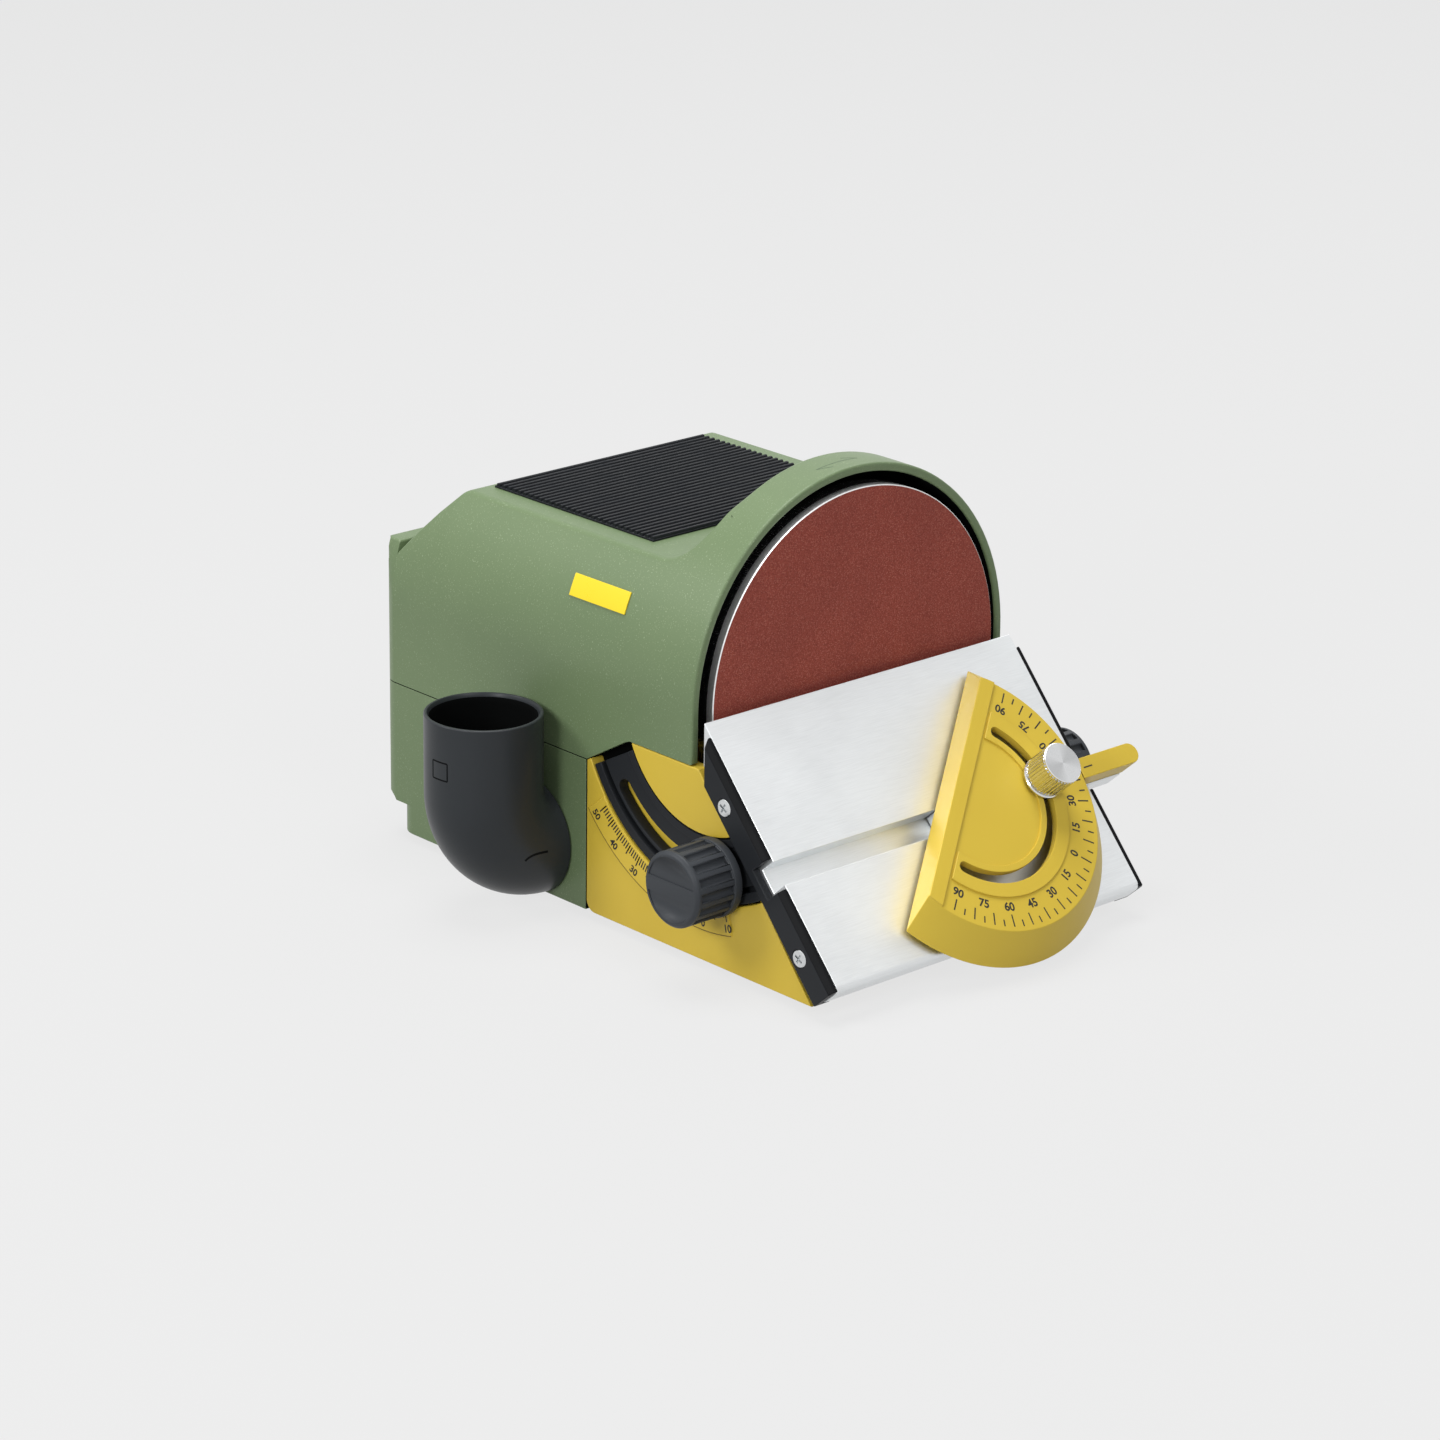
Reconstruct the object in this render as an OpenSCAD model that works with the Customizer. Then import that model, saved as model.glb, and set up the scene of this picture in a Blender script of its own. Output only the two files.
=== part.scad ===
// Benchtop disc sander with a tilting table, an angle stop and a swivelling dust elbow.
// Frame: x to the right seen from the front, y to the back, z up. The origin lies on the bench,
// straight below the centre of the abrasive face. Millimetres.

/* [Disc] */
// Diameter of the sanding disc
disc_d = 125; // [115:1:135]
// Thickness of the aluminium disc plate
disc_t = 7; // [5:0.5:9]
// Thickness of the abrasive sheet
sheet_t = 0.8; // [0.4:0.1:1.5]
// Radial gap between the disc and the shroud
disc_gap = 3.9; // [2.5:0.1:6]
// How far the abrasive face stands ahead of the shroud rim
disc_proud = 2; // [0.5:0.1:4]
// Diameter of the hub behind the disc
hub_d = 30; // [24:1:34]
// Diameter of the motor shaft
shaft_d = 10; // [8:0.5:12]

/* [Housing] */
// Thickness of the housing walls
wall = 3; // [2:0.1:3.6]
// Height of the disc axis above the bench
axis_h = 83.4; // [80:0.2:90]
// Height of the top flat above the disc axis
flat_rise = 42.3; // [38:0.1:46]
// Length of the shroud from its rim to its back
shroud_len = 17.5; // [15:0.1:20]
// Radius of the hollow flare behind the shroud
flare_r = 14.5; // [8:0.1:18]
// Distance from the abrasive face to the rear wall
rear_y = 159.5; // [150:0.5:175]
// Radius of the upright rear corners
corner_r = 8; // [5:0.5:12]
// Height of the seam between the upper and lower shells
split_h = 55.7; // [53:0.1:58]
// Distance from the abrasive face to the joint between base and rear shell
joint_y = 52.4; // [50:0.1:56]
// Where the rear slope leaves the top flat
slope_y = 130.4; // [124:0.1:136]
// Steepness of the rear slope
slope_angle = 48; // [40:1:52]
// Thickness of the rear band
band_t = 7.3; // [5:0.1:9]
// Height of the rear band above the bench
band_h = 105; // [100:0.5:108]
// Depth of the step at the foot of the rear wall
plinth_in = 8.7; // [5:0.1:9]
// Height of that step above the bench
plinth_h = 15.5; // [11:0.5:17]
// Height of the rubber feet
foot_h = 3; // [2:0.5:5]
// Diameter of the rubber feet
foot_d = 16; // [12:1:20]
// Width of the open seams between the shells
seam = 0.3; // [0.2:0.05:0.5]

/* [Grip pad] */
// Half width of the ribbed pad
pad_half_w = 46.3; // [38:0.1:50]
// Front edge of the pad
pad_y0 = 47; // [40:0.5:55]
// Rear edge of the pad
pad_y1 = 126.5; // [110:0.5:128]
// Thickness of the pad below its ribs
pad_t = 0.7; // [0.5:0.1:1.2]
// Height of the ribs
pad_rib_h = 1; // [0.6:0.1:1.6]
// Distance from rib to rib
pad_pitch = 2.65; // [2:0.05:4]

/* [Front base] */
// Height of the base's top edge above the bench
base_top_h = 67.3; // [66:0.1:70]
// Where the notch in the upper shell starts to drop
notch_y = 32.4; // [30:0.1:36]
// Height of the front wall of the dust chamber
front_wall_h = 58; // [50:0.5:61]
// Depth of the arc tracks in the sides
track_d = 5; // [4.8:0.1:5.5]
// Wall between an arc track and the dust chamber
track_wall = 3.4; // [2.5:0.1:4]
// Height of the raised scale panels
scale_t = 0.5; // [0.2:0.1:0.8]
// Radius of the rounded lower corner
base_corner_r = 4; // [2:0.5:7]

/* [Table] */
// Width of the aluminium table
table_w = 137; // [134:0.5:137.4]
// Depth of the table
table_l = 95.4; // [90:0.2:98]
// Thickness of the table
table_t = 9.5; // [9:0.1:10.5]
// Gap between the table's inner edge and the abrasive
table_gap = 2.5; // [1.5:0.1:3.5]
// How far the table's hinge line lies below the disc axis
pivot_drop = 0.8; // [0:0.1:2]
// Downward tilt of the table as drawn
table_tilt = 48.3; // [48:0.1:49.5]
// Greatest downward tilt of the table
tilt_down = 50; // [49.5:0.1:50.5]
// Distance from the inner edge to the middle of the groove
groove_s = 53.5; // [48:0.5:58]
// Width of the groove
groove_w = 8.2; // [7:0.1:9]
// Depth of the groove
groove_d = 6.6; // [5:0.1:7]
// Thickness of the end strips
strip_t = 2.8; // [2.6:0.1:3.4]
// How far the strips reach below the table
strip_lip = 1.1; // [0.8:0.1:1.4]
// Inner radius of the tilt arcs
arc_r_in = 37.5; // [36:0.1:39]
// Outer radius of the tilt arcs
arc_r_out = 58.5; // [57:0.1:60]
// Thickness of the tilt arcs
arc_t = 4.4; // [4:0.1:4.5]
// Radius of the arc slots
slot_r = 49; // [48:0.1:50]
// Width of the arc slots
slot_w = 5.8; // [5.6:0.1:6.4]
// Angle below the horizontal at which each arc ends
arc_end = 28.5; // [28:0.1:32]
// Angle of each slot's rear end
slot_end = 41; // [39:0.1:42]
// Angle of each slot's front end
slot_start = 103; // [102.4:0.1:105]
// Angle of the clamp studs
stud_angle = 100.5; // [99.5:0.1:101]

/* [Clamp knobs] */
// Diameter of the clamp knobs
knob_d = 25.2; // [22:0.1:25.4]
// Length of the clamp knobs
knob_l = 20.5; // [18:0.1:22]
// Diameter of the clamp studs
stud_d = 5; // [4:0.1:5.2]
// Number of grip ribs on a clamp knob
knob_ribs = 16; // [10:1:20]

/* [Dust outlet] */
// Outside diameter of the elbow
elbow_d = 39; // [34:0.2:40]
// Wall of the elbow
elbow_wall = 1.7; // [1.2:0.1:2.5]
// Bend radius of the elbow
elbow_bend = 21; // [20.4:0.1:26]
// Distance of the elbow's swivel axis behind the abrasive face
port_y = 79; // [77:0.5:84]
// Height of the elbow's swivel axis above the underside of the shell
port_rise = 19; // [18.8:0.1:21]
// Height of the elbow's mouth
mouth_h = 69.6; // [60:0.2:90]
// Diameter of the elbow's spigot
spigot_d = 31; // [29:0.2:31.4]

/* [Angle stop] */
// Distance of the stop's pivot from the table's middle
stop_x = 11.2; // [0:0.1:14]
// Reading of the protractor as drawn
stop_angle = 45; // [30:1:60]
// Gap under the protractor
prot_lift = 1.7; // [1.6:0.1:3]
// Height of the protractor's scale above its foot
prot_h = 9.8; // [9:0.1:12]
// Radius of the protractor at its scale
prot_r_top = 46; // [44:0.1:48]
// Radius of the protractor at its foot
prot_r_foot = 54.5; // [52:0.1:56]
// Distance from the pivot to the straight face
prot_face = 10; // [8:0.1:12]
// Wall of the protractor
prot_wall = 2.2; // [1.6:0.1:2.6]
// Radius of the protractor's slot
prot_slot_r = 27.6; // [26:0.1:29]
// Width of the protractor's slot
prot_slot_w = 3.8; // [3.8:0.1:5]
// Height of the index bar above the table
pointer_h = 9.5; // [7:0.1:11]
// Reach of the index bar from the pivot
stop_reach = 75.8; // [72:0.1:80]
// Width of the index bar
stop_w = 7.1; // [6.4:0.1:7.6]
// Length of the slide rail
rail_l = 80; // [76:0.5:90]
// Diameter of the knurled knob
thumb_d = 14.6; // [12:0.1:16]
// Height of the knurled knob
thumb_h = 12.5; // [9:0.1:15]

/* [Controls] */
// Distance of the rocker switch behind the abrasive face
switch_y = 125; // [120:0.5:128]
// Distance of the speed dial behind the abrasive face
dial_y = 92; // [88:0.5:98]
// Height of the controls above the bench
control_h = 34; // [30:0.5:38]
// Diameter of the speed dial
dial_d = 26; // [20:0.5:30]
// Length of the speed dial
dial_l = 13; // [10:0.5:16]

/* [Motor] */
// Outside diameter of the motor can
can_d = 66; // [60:1:68]
// Length of the motor can
can_l = 78; // [72:1:82]
// Wall of the motor can
can_wall = 2.5; // [2:0.1:3.5]
// Diameter of the armature
armature_d = 49.2; // [44:0.1:50]
// Length of the armature
armature_l = 50; // [44:1:52]

/* [Hidden] */
$fn = 96;

// Overrun of every cut past the face it opens
over = 1;
// Running clearance of a turning pin in its bore
run_fit = 0.05;
// Clear gap between pieces that move past each other
clear = 0.3;

// Housing
shroud_r_in = disc_d / 2 + disc_gap;
body_r = shroud_r_in + wall;
rim_y = disc_proud;
shroud_back_y = rim_y + shroud_len;
chamber_back_y = shroud_back_y - wall;
flat_h = axis_h + flat_rise;
band_y = rear_y - band_t;
slope_end_h = flat_h - (band_y - slope_y) * tan(slope_angle);
sky_h = axis_h + body_r + over;
inner_slope_y = slope_y - wall * tan(slope_angle / 2);
inner_slope_end_h = flat_h - wall - (rear_y - wall - inner_slope_y) * tan(slope_angle);
rear_inner_y = rear_y - wall;
shell_front_y = joint_y + seam;
plinth_curve = 9.2;
plinth_r = (pow(plinth_in, 2) + pow(plinth_curve, 2)) / (4 * plinth_in);
plinth_corner_r = 4;

// Screws and bosses of the shells
boss_r = 5.5;
boss_l = 16;
boss_in = 8.4;
boss_rear_in = 15.5;
boss_port_gap = 29;
boss_joint_gap = 12;
boss_top_h = split_h + boss_l;
screw_r = 1.5;
screw_head_r = 3.1;
screw_head_t = 2.4;
screw_play = 0.1;
screw_grip = 10;
boss_x = body_r - wall - boss_in;
boss_rear_y = rear_y - boss_rear_in;
boss_left_y = port_y + boss_port_gap;
boss_right_y = joint_y + boss_joint_gap;
boss_spots = [[boss_x, boss_right_y], [boss_x, boss_rear_y], [-boss_x, boss_left_y], [-boss_x, boss_rear_y]];

// Vents in the rear wall
vent_w = 3;
vent_l = 28;
vent_pitch = 7;
vents = 9;
vent_rise = 9;
vent_h = split_h + vent_rise;

// Feet
foot_peg_r = 3;
foot_in = 18;
foot_rear_in = 36;
foot_x = body_r - foot_in;
foot_front_y = -26;
foot_rear_y = rear_y - foot_rear_in;
foot_spots = [[-foot_x, foot_front_y], [foot_x, foot_front_y], [-foot_x, foot_rear_y], [foot_x, foot_rear_y]];

// Badge on the left side of the shroud
badge_y0 = 39;
badge_l = 27;
badge_t = 0.5;
badge_low = 20;
badge_sweep = 6.2;

// Tilt geometry
pivot_y = -table_gap;
pivot_h = axis_h - pivot_drop;
lip_depth = table_t + strip_lip;
face_clear = 0.5;
face_off = lip_depth + face_clear;
front_off_y = pivot_y + face_off * sin(tilt_down);
front_off_h = pivot_h - face_off * cos(tilt_down);
function front_y(h, inward = 0) = front_off_y + inward / sin(tilt_down) - (front_off_h - h) / tan(tilt_down);
track_clear = 0.6;
track_r_in = arc_r_in - track_clear;
track_r_out = arc_r_out + track_clear;
track_x = body_r - track_d;
chamber_x = track_x - track_wall;
stud_y = pivot_y + slot_r * cos(stud_angle);
stud_h = pivot_h - slot_r * sin(stud_angle);
stud_boss_r = 8;
stud_boss_l = 9;
nut_r = 4.6;
nut_t = 4;
nut_in = 3;
nut_x = chamber_x - nut_in;
scale_from = 39;
scale_to = 103;
scale_r_out = 69;

// Dust duct
port_h = foot_h + port_rise;
duct_r = 15;
duct_wall = 2;
duct_side_clear = 1;
duct_end_clear = 0.6;
duct_x = -(chamber_x - duct_r - duct_side_clear);
port_boss_r = 18.5;
port_boss_l = 6;
duct_end_x = -(body_r - wall - port_boss_l - duct_end_clear);

// Motor
plate_t = 3;
plate_r = 45;
plate_top_clear = 2.3;
plate_up = flat_rise - wall - plate_top_clear;
plate_down = 40;
plate_y = shroud_back_y;
hub_clear = 2;
plate_hole_r = hub_d / 2 + hub_clear;
plate_screw_x = 34;
plate_screw_rise = 24;
bell_y = plate_y + plate_t;
bell_t = 6.5;
can_r = can_d / 2;
can_y = bell_y + bell_t;
rear_bell_y = can_y + can_l;
rear_bell_t = 7;
shaft_r = shaft_d / 2;
front_bearing_r = 13;
rear_bearing_r = 11;
bearing_t = 6;
bell_lip = 0.5;
motor_screw_pcd_r = 24;
motor_screws_n = 4;
armature_r = armature_d / 2;
// How the can's length beyond the armature is shared out, from the front to the rear bell
armature_room = can_l - armature_l;
front_room_share = 13 / 28;
rear_winding_share = 3 / 28;
commutator_share = 10 / 28;
brush_share = 3 / 5;
armature_y = can_y + armature_room * front_room_share;
magnet_gap = 0.6;
magnet_angle = 130;
winding_r = 15;
winding_t = 6;
commutator_r = 11;
commutator_l = armature_room * commutator_share;
commutator_y = armature_y + armature_l + armature_room * rear_winding_share;
brush_w = commutator_l * brush_share;
brush_play = 0.2;
brush_l = 9;
holder_wall = 1.5;
fan_gap = 3.5;
fan_y = rear_bell_y + rear_bell_t + fan_gap;
fan_t = 8;
fan_r = 29;
fan_plate_t = 1.6;
fan_hub_r = 9;
fan_blades = 9;
fan_blade_t = 1.5;
shaft_end = 2;
shaft_y1 = fan_y + fan_t + shaft_end;
saddle_clear = 0.3;

// Disc
disc_r = disc_d / 2;
disc_back_y = sheet_t + disc_t;
hub_end_in = 1;
disc_web = 3;
hub_end_y = plate_y + plate_t - hub_end_in;
shaft_y0 = sheet_t + disc_web;
set_screw_r = 2;
set_screw_in = 7;
set_screw_y = disc_back_y + set_screw_in;

// Board
board_x0 = -22;
board_x1 = 36;
board_lap = 4;
board_rear_in = 13.2;
board_rise = 8;
board_y0 = boss_left_y - board_lap;
board_y1 = rear_y - board_rear_in;
board_h = foot_h + wall + board_rise;
board_t = 1.6;
board_post_r = 3;
board_edge = 4;
capacitor_r = 9;
capacitor_l = 22;
choke_r = 7;
choke_wire_r = 3;
sink_size = [24, 3, 20];
capacitor_in = [16, 14];
choke_in = [38, 24];
sink_in = [40, 10];
capacitor_x = board_x0 + capacitor_in[0];
choke_x = board_x0 + choke_in[0];
lead_r = 1;
motor_lead_edge = 3;
motor_lead_rise = 16;
motor_lead_x = [board_x0 + motor_lead_edge, (capacitor_x + capacitor_r + choke_x - choke_r - choke_wire_r) / 2];
switch_lead_gap = 3;
switch_lead_in = 6;
supply_lead_gap = 1.6;
supply_lead_in = 4;

// Switch
switch_cut = [12, 19];
switch_flange = [15, 22, 2];
switch_depth = 21;
rocker_size = [9, 16];
rocker_rise = 3.2;
rocker_dip = 1.6;
rocker_root = 3;
rocker_tilt = 10;
rocker_gap = 0.6;
rocker_pocket = 5.2;
rocker_pin_r = 1.2;
rocker_pin_l = 0.6;
rocker_pin_clear = 0.2;

// Dial
pot_r = 11;
pot_t = 9;
pot_end_t = 2;
bush_r = 4;
bush_l = 4.4;
dial_shaft_r = 3;
dial_nut_r = 6.4;
dial_nut_t = 2;
dial_x = body_r + bush_l + clear;
dial_grips = 18;
dial_grip_r = 1;
dial_skirt_t = 2.4;

// Gland
gland_x = 32;
gland_h = 33;
gland_r = 6;
gland_flange_r = 9;
gland_flange_t = 3;
gland_nose_l = 7;
gland_bore_r = 3.6;
gland_in = 6;

// Table
table_half = table_w / 2;
strip_x0 = table_half;
strip_x1 = table_half + strip_t;
strip_flat_share = 1 / 2;
strip_flat = strip_t * strip_flat_share;
strip_bevel = 1.9;
strip_in = 4.9;
strip_out = 0.4;
arc_in = 0.2;
arc_x1 = body_r - arc_in;
arc_x0 = arc_x1 - arc_t;
lip_x0 = min(strip_x0, arc_x0);
lip_x1 = max(strip_x1, arc_x1);
arc_foot = asin(lip_depth / arc_r_in);
arc_front = 180 + table_tilt - arc_foot;
arc_channel_w = 1.8;
arc_channel_d = 2.4;
arc_channel_in = 4.3;
arc_channel_r = arc_r_out - arc_channel_in;
arc_bead_w = 2.7;
arc_recess_d = 0.6;
notch_play = 2.4;
notch_w = groove_w + notch_play;
bracket_screw_shares = [0.2784, 0.8376];
bracket_screw_s = table_l * bracket_screw_shares;
bracket_screw_drop = 6.5;
bracket_screw_r = 1.6;
bracket_head_r = 2.9;
bracket_head_t = 1.4;
bracket_screw_l = 14;
edge_r = 2.4;

// Clamp knobs
knob_r = knob_d / 2;
knob_x = arc_x1 + clear;
knob_root_r = 9;
knob_root_l = 1.6;
knob_groove_r = 1.35;
knob_face_t = 2.2;
knob_chamfer = 1;
knob_flange_rise = 0.4;
knob_flange_r = knob_r + knob_flange_rise;
knob_flange_l = 3;
stud_r = stud_d / 2;
stud_in = 1;
stud_x0 = chamber_x - stud_boss_l + stud_in;
stud_grip = 8;

// Elbow
elbow_r = elbow_d / 2;
bore_r = elbow_r - elbow_wall;
elbow_x = -(body_r + clear);
elbow_vertical_x = elbow_x - elbow_bend;
elbow_straight_h = port_h + elbow_bend;
spigot_r = spigot_d / 2;
spigot_bore_r = spigot_r - elbow_wall;
spigot_l = wall + port_boss_l;
shoulder_angle = 12;
shoulder_cut = (elbow_bend + bore_r) * sin(shoulder_angle) + over;

// Angle stop, in the table's own frame
stop_y = -groove_s;
cone_clear = 0.5;
prot_scale = prot_lift + prot_h;
prot_plate = 2.2;
prot_ridge_w = 5.4;
prot_ridge_h = 1;
prot_ring_in = 23.4;
prot_ring_out = 34.4;
prot_ring_h = 0.7;
prot_band_in = 6.5;
prot_hub_r = 7;
pivot_r = 3;
pivot_top = prot_scale - prot_plate - clear;
rail_play = 0.2;
rail_w = groove_w - 2 * rail_play;
rail_t = groove_d - clear;
rail_tail = 8;
rail_top = 1.2;
thumb_x = prot_slot_r;
thumb_flange_in = 0.4;
thumb_flange_r = thumb_d / 2 - thumb_flange_in;
thumb_flange_t = 1.2;
thumb_stud_r = 1.6;
thumb_cap = 3;
thumb_stud_l = thumb_h - thumb_cap;
thumb_base = prot_scale + prot_ring_h + clear;
thumb_chamfer = 0.8;
knurls = 40;
knurl_r = 0.36;
bar_screw_gap = 5.5;
bar_screw_pitch = 8;
bar_screw_x = [prot_r_foot + bar_screw_gap, prot_r_foot + bar_screw_gap + bar_screw_pitch];
bar_screw_r = 1.3;
bar_screw_head_r = 2.5;
bar_screw_head_t = 1.4;
bar_screw_grip = 4.5;

green = "#7d9470";
yellow = "#cbb248";
black = "#2d2f32";
alloy = "#d4d8db";
steel = "#9a9da1";
zinc = "#c9cdd0";
copper = "#b0703c";
rust = "#87423a";
board_green = "#2f6b45";

// Cylinders along the x and y axes, and a box between two corners
module bar_x(r, x0, x1) translate([x0, 0, 0]) rotate([0, 90, 0]) cylinder(r = r, h = x1 - x0);
module bar_y(r, y0, y1) translate([0, y0, 0]) rotate([-90, 0, 0]) cylinder(r = r, h = y1 - y0);
module box(lo, hi) translate(lo) cube(hi - lo);

// A side profile drawn in y and z, swept along x
module sweep_x(x0, x1) translate([x0, 0, 0]) rotate([90, 0, 90]) linear_extrude(x1 - x0) children();

module at_axis() translate([0, 0, axis_h]) children();
module at_pivot() translate([0, pivot_y, pivot_h]) children();
module at_table() at_pivot() rotate([table_tilt, 0, 0]) children();
module at_stop() at_table() translate([stop_x, stop_y, 0]) children();
module both_sides() {
    children();
    mirror([1, 0, 0]) children();
}

// Block with an arched top and rounded rear corners
module arched_block(r, y0, y1, corner) {
    intersection() {
        translate([0, y1, axis_h]) rotate([90, 0, 0]) linear_extrude(y1 - y0) {
            circle(r);
            translate([-r, -axis_h]) square([2 * r, axis_h]);
        }
        linear_extrude(sky_h) {
            translate([-r, y0]) square([2 * r, y1 - corner - y0]);
            translate([-r + corner, y0]) square([2 * (r - corner), y1 - y0]);
            for (side = [-1, 1])
                translate([side * (r - corner), y1 - corner]) circle(corner);
        }
    }
}

// What is cut away above the top flat, the rear slope and the rear band
module top_cut() {
    sweep_x(-body_r - over, body_r + over) difference() {
        polygon([[shroud_back_y, flat_h], [slope_y, flat_h], [band_y, slope_end_h], [band_y, band_h],
            [rear_y + over, band_h], [rear_y + over, sky_h], [shroud_back_y, sky_h]]);
        difference() {
            translate([shroud_back_y, flat_h]) square(flare_r);
            translate([shroud_back_y + flare_r, flat_h + flare_r]) circle(flare_r);
        }
    }
}

module upper_outline() polygon([[rim_y, base_top_h], [notch_y, base_top_h], [joint_y, split_h],
    [rear_y, split_h], [rear_y, sky_h], [rim_y, sky_h]]);

module upper_cavity() {
    intersection() {
        arched_block(shroud_r_in, shroud_back_y, rear_inner_y, corner_r - wall);
        sweep_x(-body_r, body_r) polygon([[shroud_back_y, foot_h], [rear_inner_y, foot_h],
            [rear_inner_y, inner_slope_end_h], [inner_slope_y, flat_h - wall], [shroud_back_y, flat_h - wall]]);
    }
}

module upper_boss() {
    translate([0, 0, split_h]) cylinder(r = boss_r, h = boss_top_h - split_h);
    box([0, -wall / 2, split_h], [body_r - wall / 2 - boss_x, wall / 2, boss_top_h]);
}

module plate_screw_spots() {
    for (side = [-1, 1], level = [-1, 1])
        translate([side * plate_screw_x, 0, axis_h + level * plate_screw_rise]) children();
}

module upper_housing() color(green) difference() {
    union() {
        difference() {
            intersection() {
                arched_block(body_r, rim_y, rear_y, corner_r);
                sweep_x(-body_r, body_r) upper_outline();
            }
            top_cut();
            upper_cavity();
            at_axis() bar_y(shroud_r_in, rim_y - over, chamber_back_y);
        }
        for (spot = boss_spots)
            translate([spot[0], spot[1], 0]) mirror([spot[0] > 0 ? 0 : 1, 0, 0]) upper_boss();
    }
    at_axis() bar_y(plate_hole_r, chamber_back_y - over, shroud_back_y + over);
    plate_screw_spots() bar_y(screw_r, chamber_back_y - over, shroud_back_y + over);
    for (spot = boss_spots)
        translate([spot[0], spot[1], split_h - over]) cylinder(r = screw_r, h = screw_grip + over);
    for (i = [0:vents - 1])
        translate([(i - (vents - 1) / 2) * vent_pitch - vent_w / 2, rear_inner_y - over, vent_h])
            cube([vent_w, wall + 2 * over, vent_l]);
}

// Side profile of the lower shell, its step rounded into an S and its rear lower corner rounded
module lower_outline() {
    plinth_y = rear_y - plinth_in;
    low = plinth_h - plinth_curve / 2;
    high = plinth_h + plinth_curve / 2;
    difference() {
        polygon([[shell_front_y, foot_h], [plinth_y, foot_h], [plinth_y, high], [rear_y, high],
            [rear_y, split_h - seam], [shell_front_y, split_h - seam]]);
        difference() {
            translate([plinth_y - plinth_corner_r, foot_h]) square(plinth_corner_r);
            translate([plinth_y - plinth_corner_r, foot_h + plinth_corner_r]) circle(plinth_corner_r);
        }
    }
    intersection() {
        translate([plinth_y - wall, plinth_h]) square([plinth_in + wall, plinth_curve / 2]);
        translate([rear_y - plinth_r, high]) circle(plinth_r);
    }
    difference() {
        translate([plinth_y - wall, low]) square([plinth_in / 2 + wall, plinth_curve / 2]);
        translate([plinth_y + plinth_r, low]) circle(plinth_r);
    }
}

// Rounds the two rear corners of the plinth in plan
module plinth_corners() both_sides() translate([body_r - corner_r, rear_y - plinth_in - corner_r, 0]) difference() {
    cube([corner_r + over, corner_r + over, plinth_h - plinth_curve / 4]);
    translate([0, 0, -over]) cylinder(r = corner_r, h = plinth_h);
}

module lower_cavity() {
    intersection() {
        arched_block(shroud_r_in, shell_front_y + wall, rear_inner_y, corner_r - wall);
        sweep_x(-body_r, body_r) polygon([[shell_front_y + wall, foot_h + wall],
            [rear_inner_y - plinth_in, foot_h + wall], [rear_inner_y - plinth_in, plinth_h + wall],
            [rear_inner_y, plinth_h + wall], [rear_inner_y, split_h], [shell_front_y + wall, split_h]]);
    }
}

module board_spots() {
    for (x = [board_x0 + board_edge, board_x1 - board_edge], y = [board_y0 + board_edge, board_y1 - board_edge])
        translate([x, y, 0]) children();
}

module lower_housing() color(green) difference() {
    union() {
        difference() {
            intersection() {
                arched_block(body_r, shell_front_y, rear_y, corner_r);
                sweep_x(-body_r, body_r) lower_outline();
            }
            plinth_corners();
            lower_cavity();
        }
        for (spot = boss_spots)
            translate([spot[0], spot[1], foot_h]) cylinder(r = boss_r, h = split_h - seam - foot_h);
        for (spot = boss_spots) {
            inner = sign(spot[0]) * boss_x;
            outer = sign(spot[0]) * (body_r - wall / 2);
            box([min(inner, outer), spot[1] - wall / 2, foot_h],
                [max(inner, outer), spot[1] + wall / 2, split_h - seam]);
        }
        board_spots() translate([0, 0, foot_h]) cylinder(r = board_post_r, h = board_h - foot_h);
        intersection() {
            translate([0, port_y, port_h]) bar_x(port_boss_r, -body_r + wall / 2, -body_r + spigot_l);
            box([-body_r, port_y - port_boss_r, foot_h], [0, port_y + port_boss_r, split_h - seam]);
        }
    }
    at_axis() bar_y(can_r + saddle_clear, shell_front_y - over, shell_front_y + wall + over);
    translate([duct_x, 0, port_h]) bar_y(duct_r + clear, shell_front_y - over, shell_front_y + wall + over);
    translate([0, port_y, port_h]) bar_x(spigot_r + run_fit, -body_r - over, -body_r + spigot_l + over);
    for (spot = boss_spots) translate([spot[0], spot[1], 0]) {
        cylinder(r = screw_r + screw_play, h = split_h);
        cylinder(r = screw_head_r + screw_play, h = split_h - seam - screw_grip);
    }
    for (spot = foot_spots) translate([spot[0], spot[1], foot_h - over]) cylinder(r = foot_peg_r, h = wall + 2 * over);
    base_screw_spots() bar_y(screw_r + screw_play, shell_front_y - over, shell_front_y + wall + over);
    box([body_r - wall - over, switch_y - switch_cut[0] / 2, control_h - switch_cut[1] / 2],
        [body_r + over, switch_y + switch_cut[0] / 2, control_h + switch_cut[1] / 2]);
    translate([0, dial_y, control_h]) bar_x(bush_r, body_r - wall - over, body_r + over);
    translate([gland_x, 0, gland_h]) bar_y(gland_r, rear_inner_y - over, rear_y + over);
}

// Screws that hold the front base to the rear shell
base_screw_rise = 7;
base_screw_h = foot_h + wall + base_screw_rise;
base_screw_shares = [-8 / 61, 44 / 61];
base_screw_x = chamber_x * base_screw_shares;
base_boss_r = 4.5;
base_boss_l = 12;
module base_screw_spots() for (x = base_screw_x) translate([x, 0, base_screw_h]) children();

module base_outline() {
    difference() {
        polygon([[front_y(base_top_h - seam), base_top_h - seam], [front_y(foot_h), foot_h], [joint_y, foot_h],
            [joint_y, split_h - seam], [notch_y, base_top_h - seam]]);
        difference() {
            translate([joint_y - base_corner_r, foot_h]) square(base_corner_r);
            translate([joint_y - base_corner_r, foot_h + base_corner_r]) circle(base_corner_r);
        }
    }
}

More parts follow.
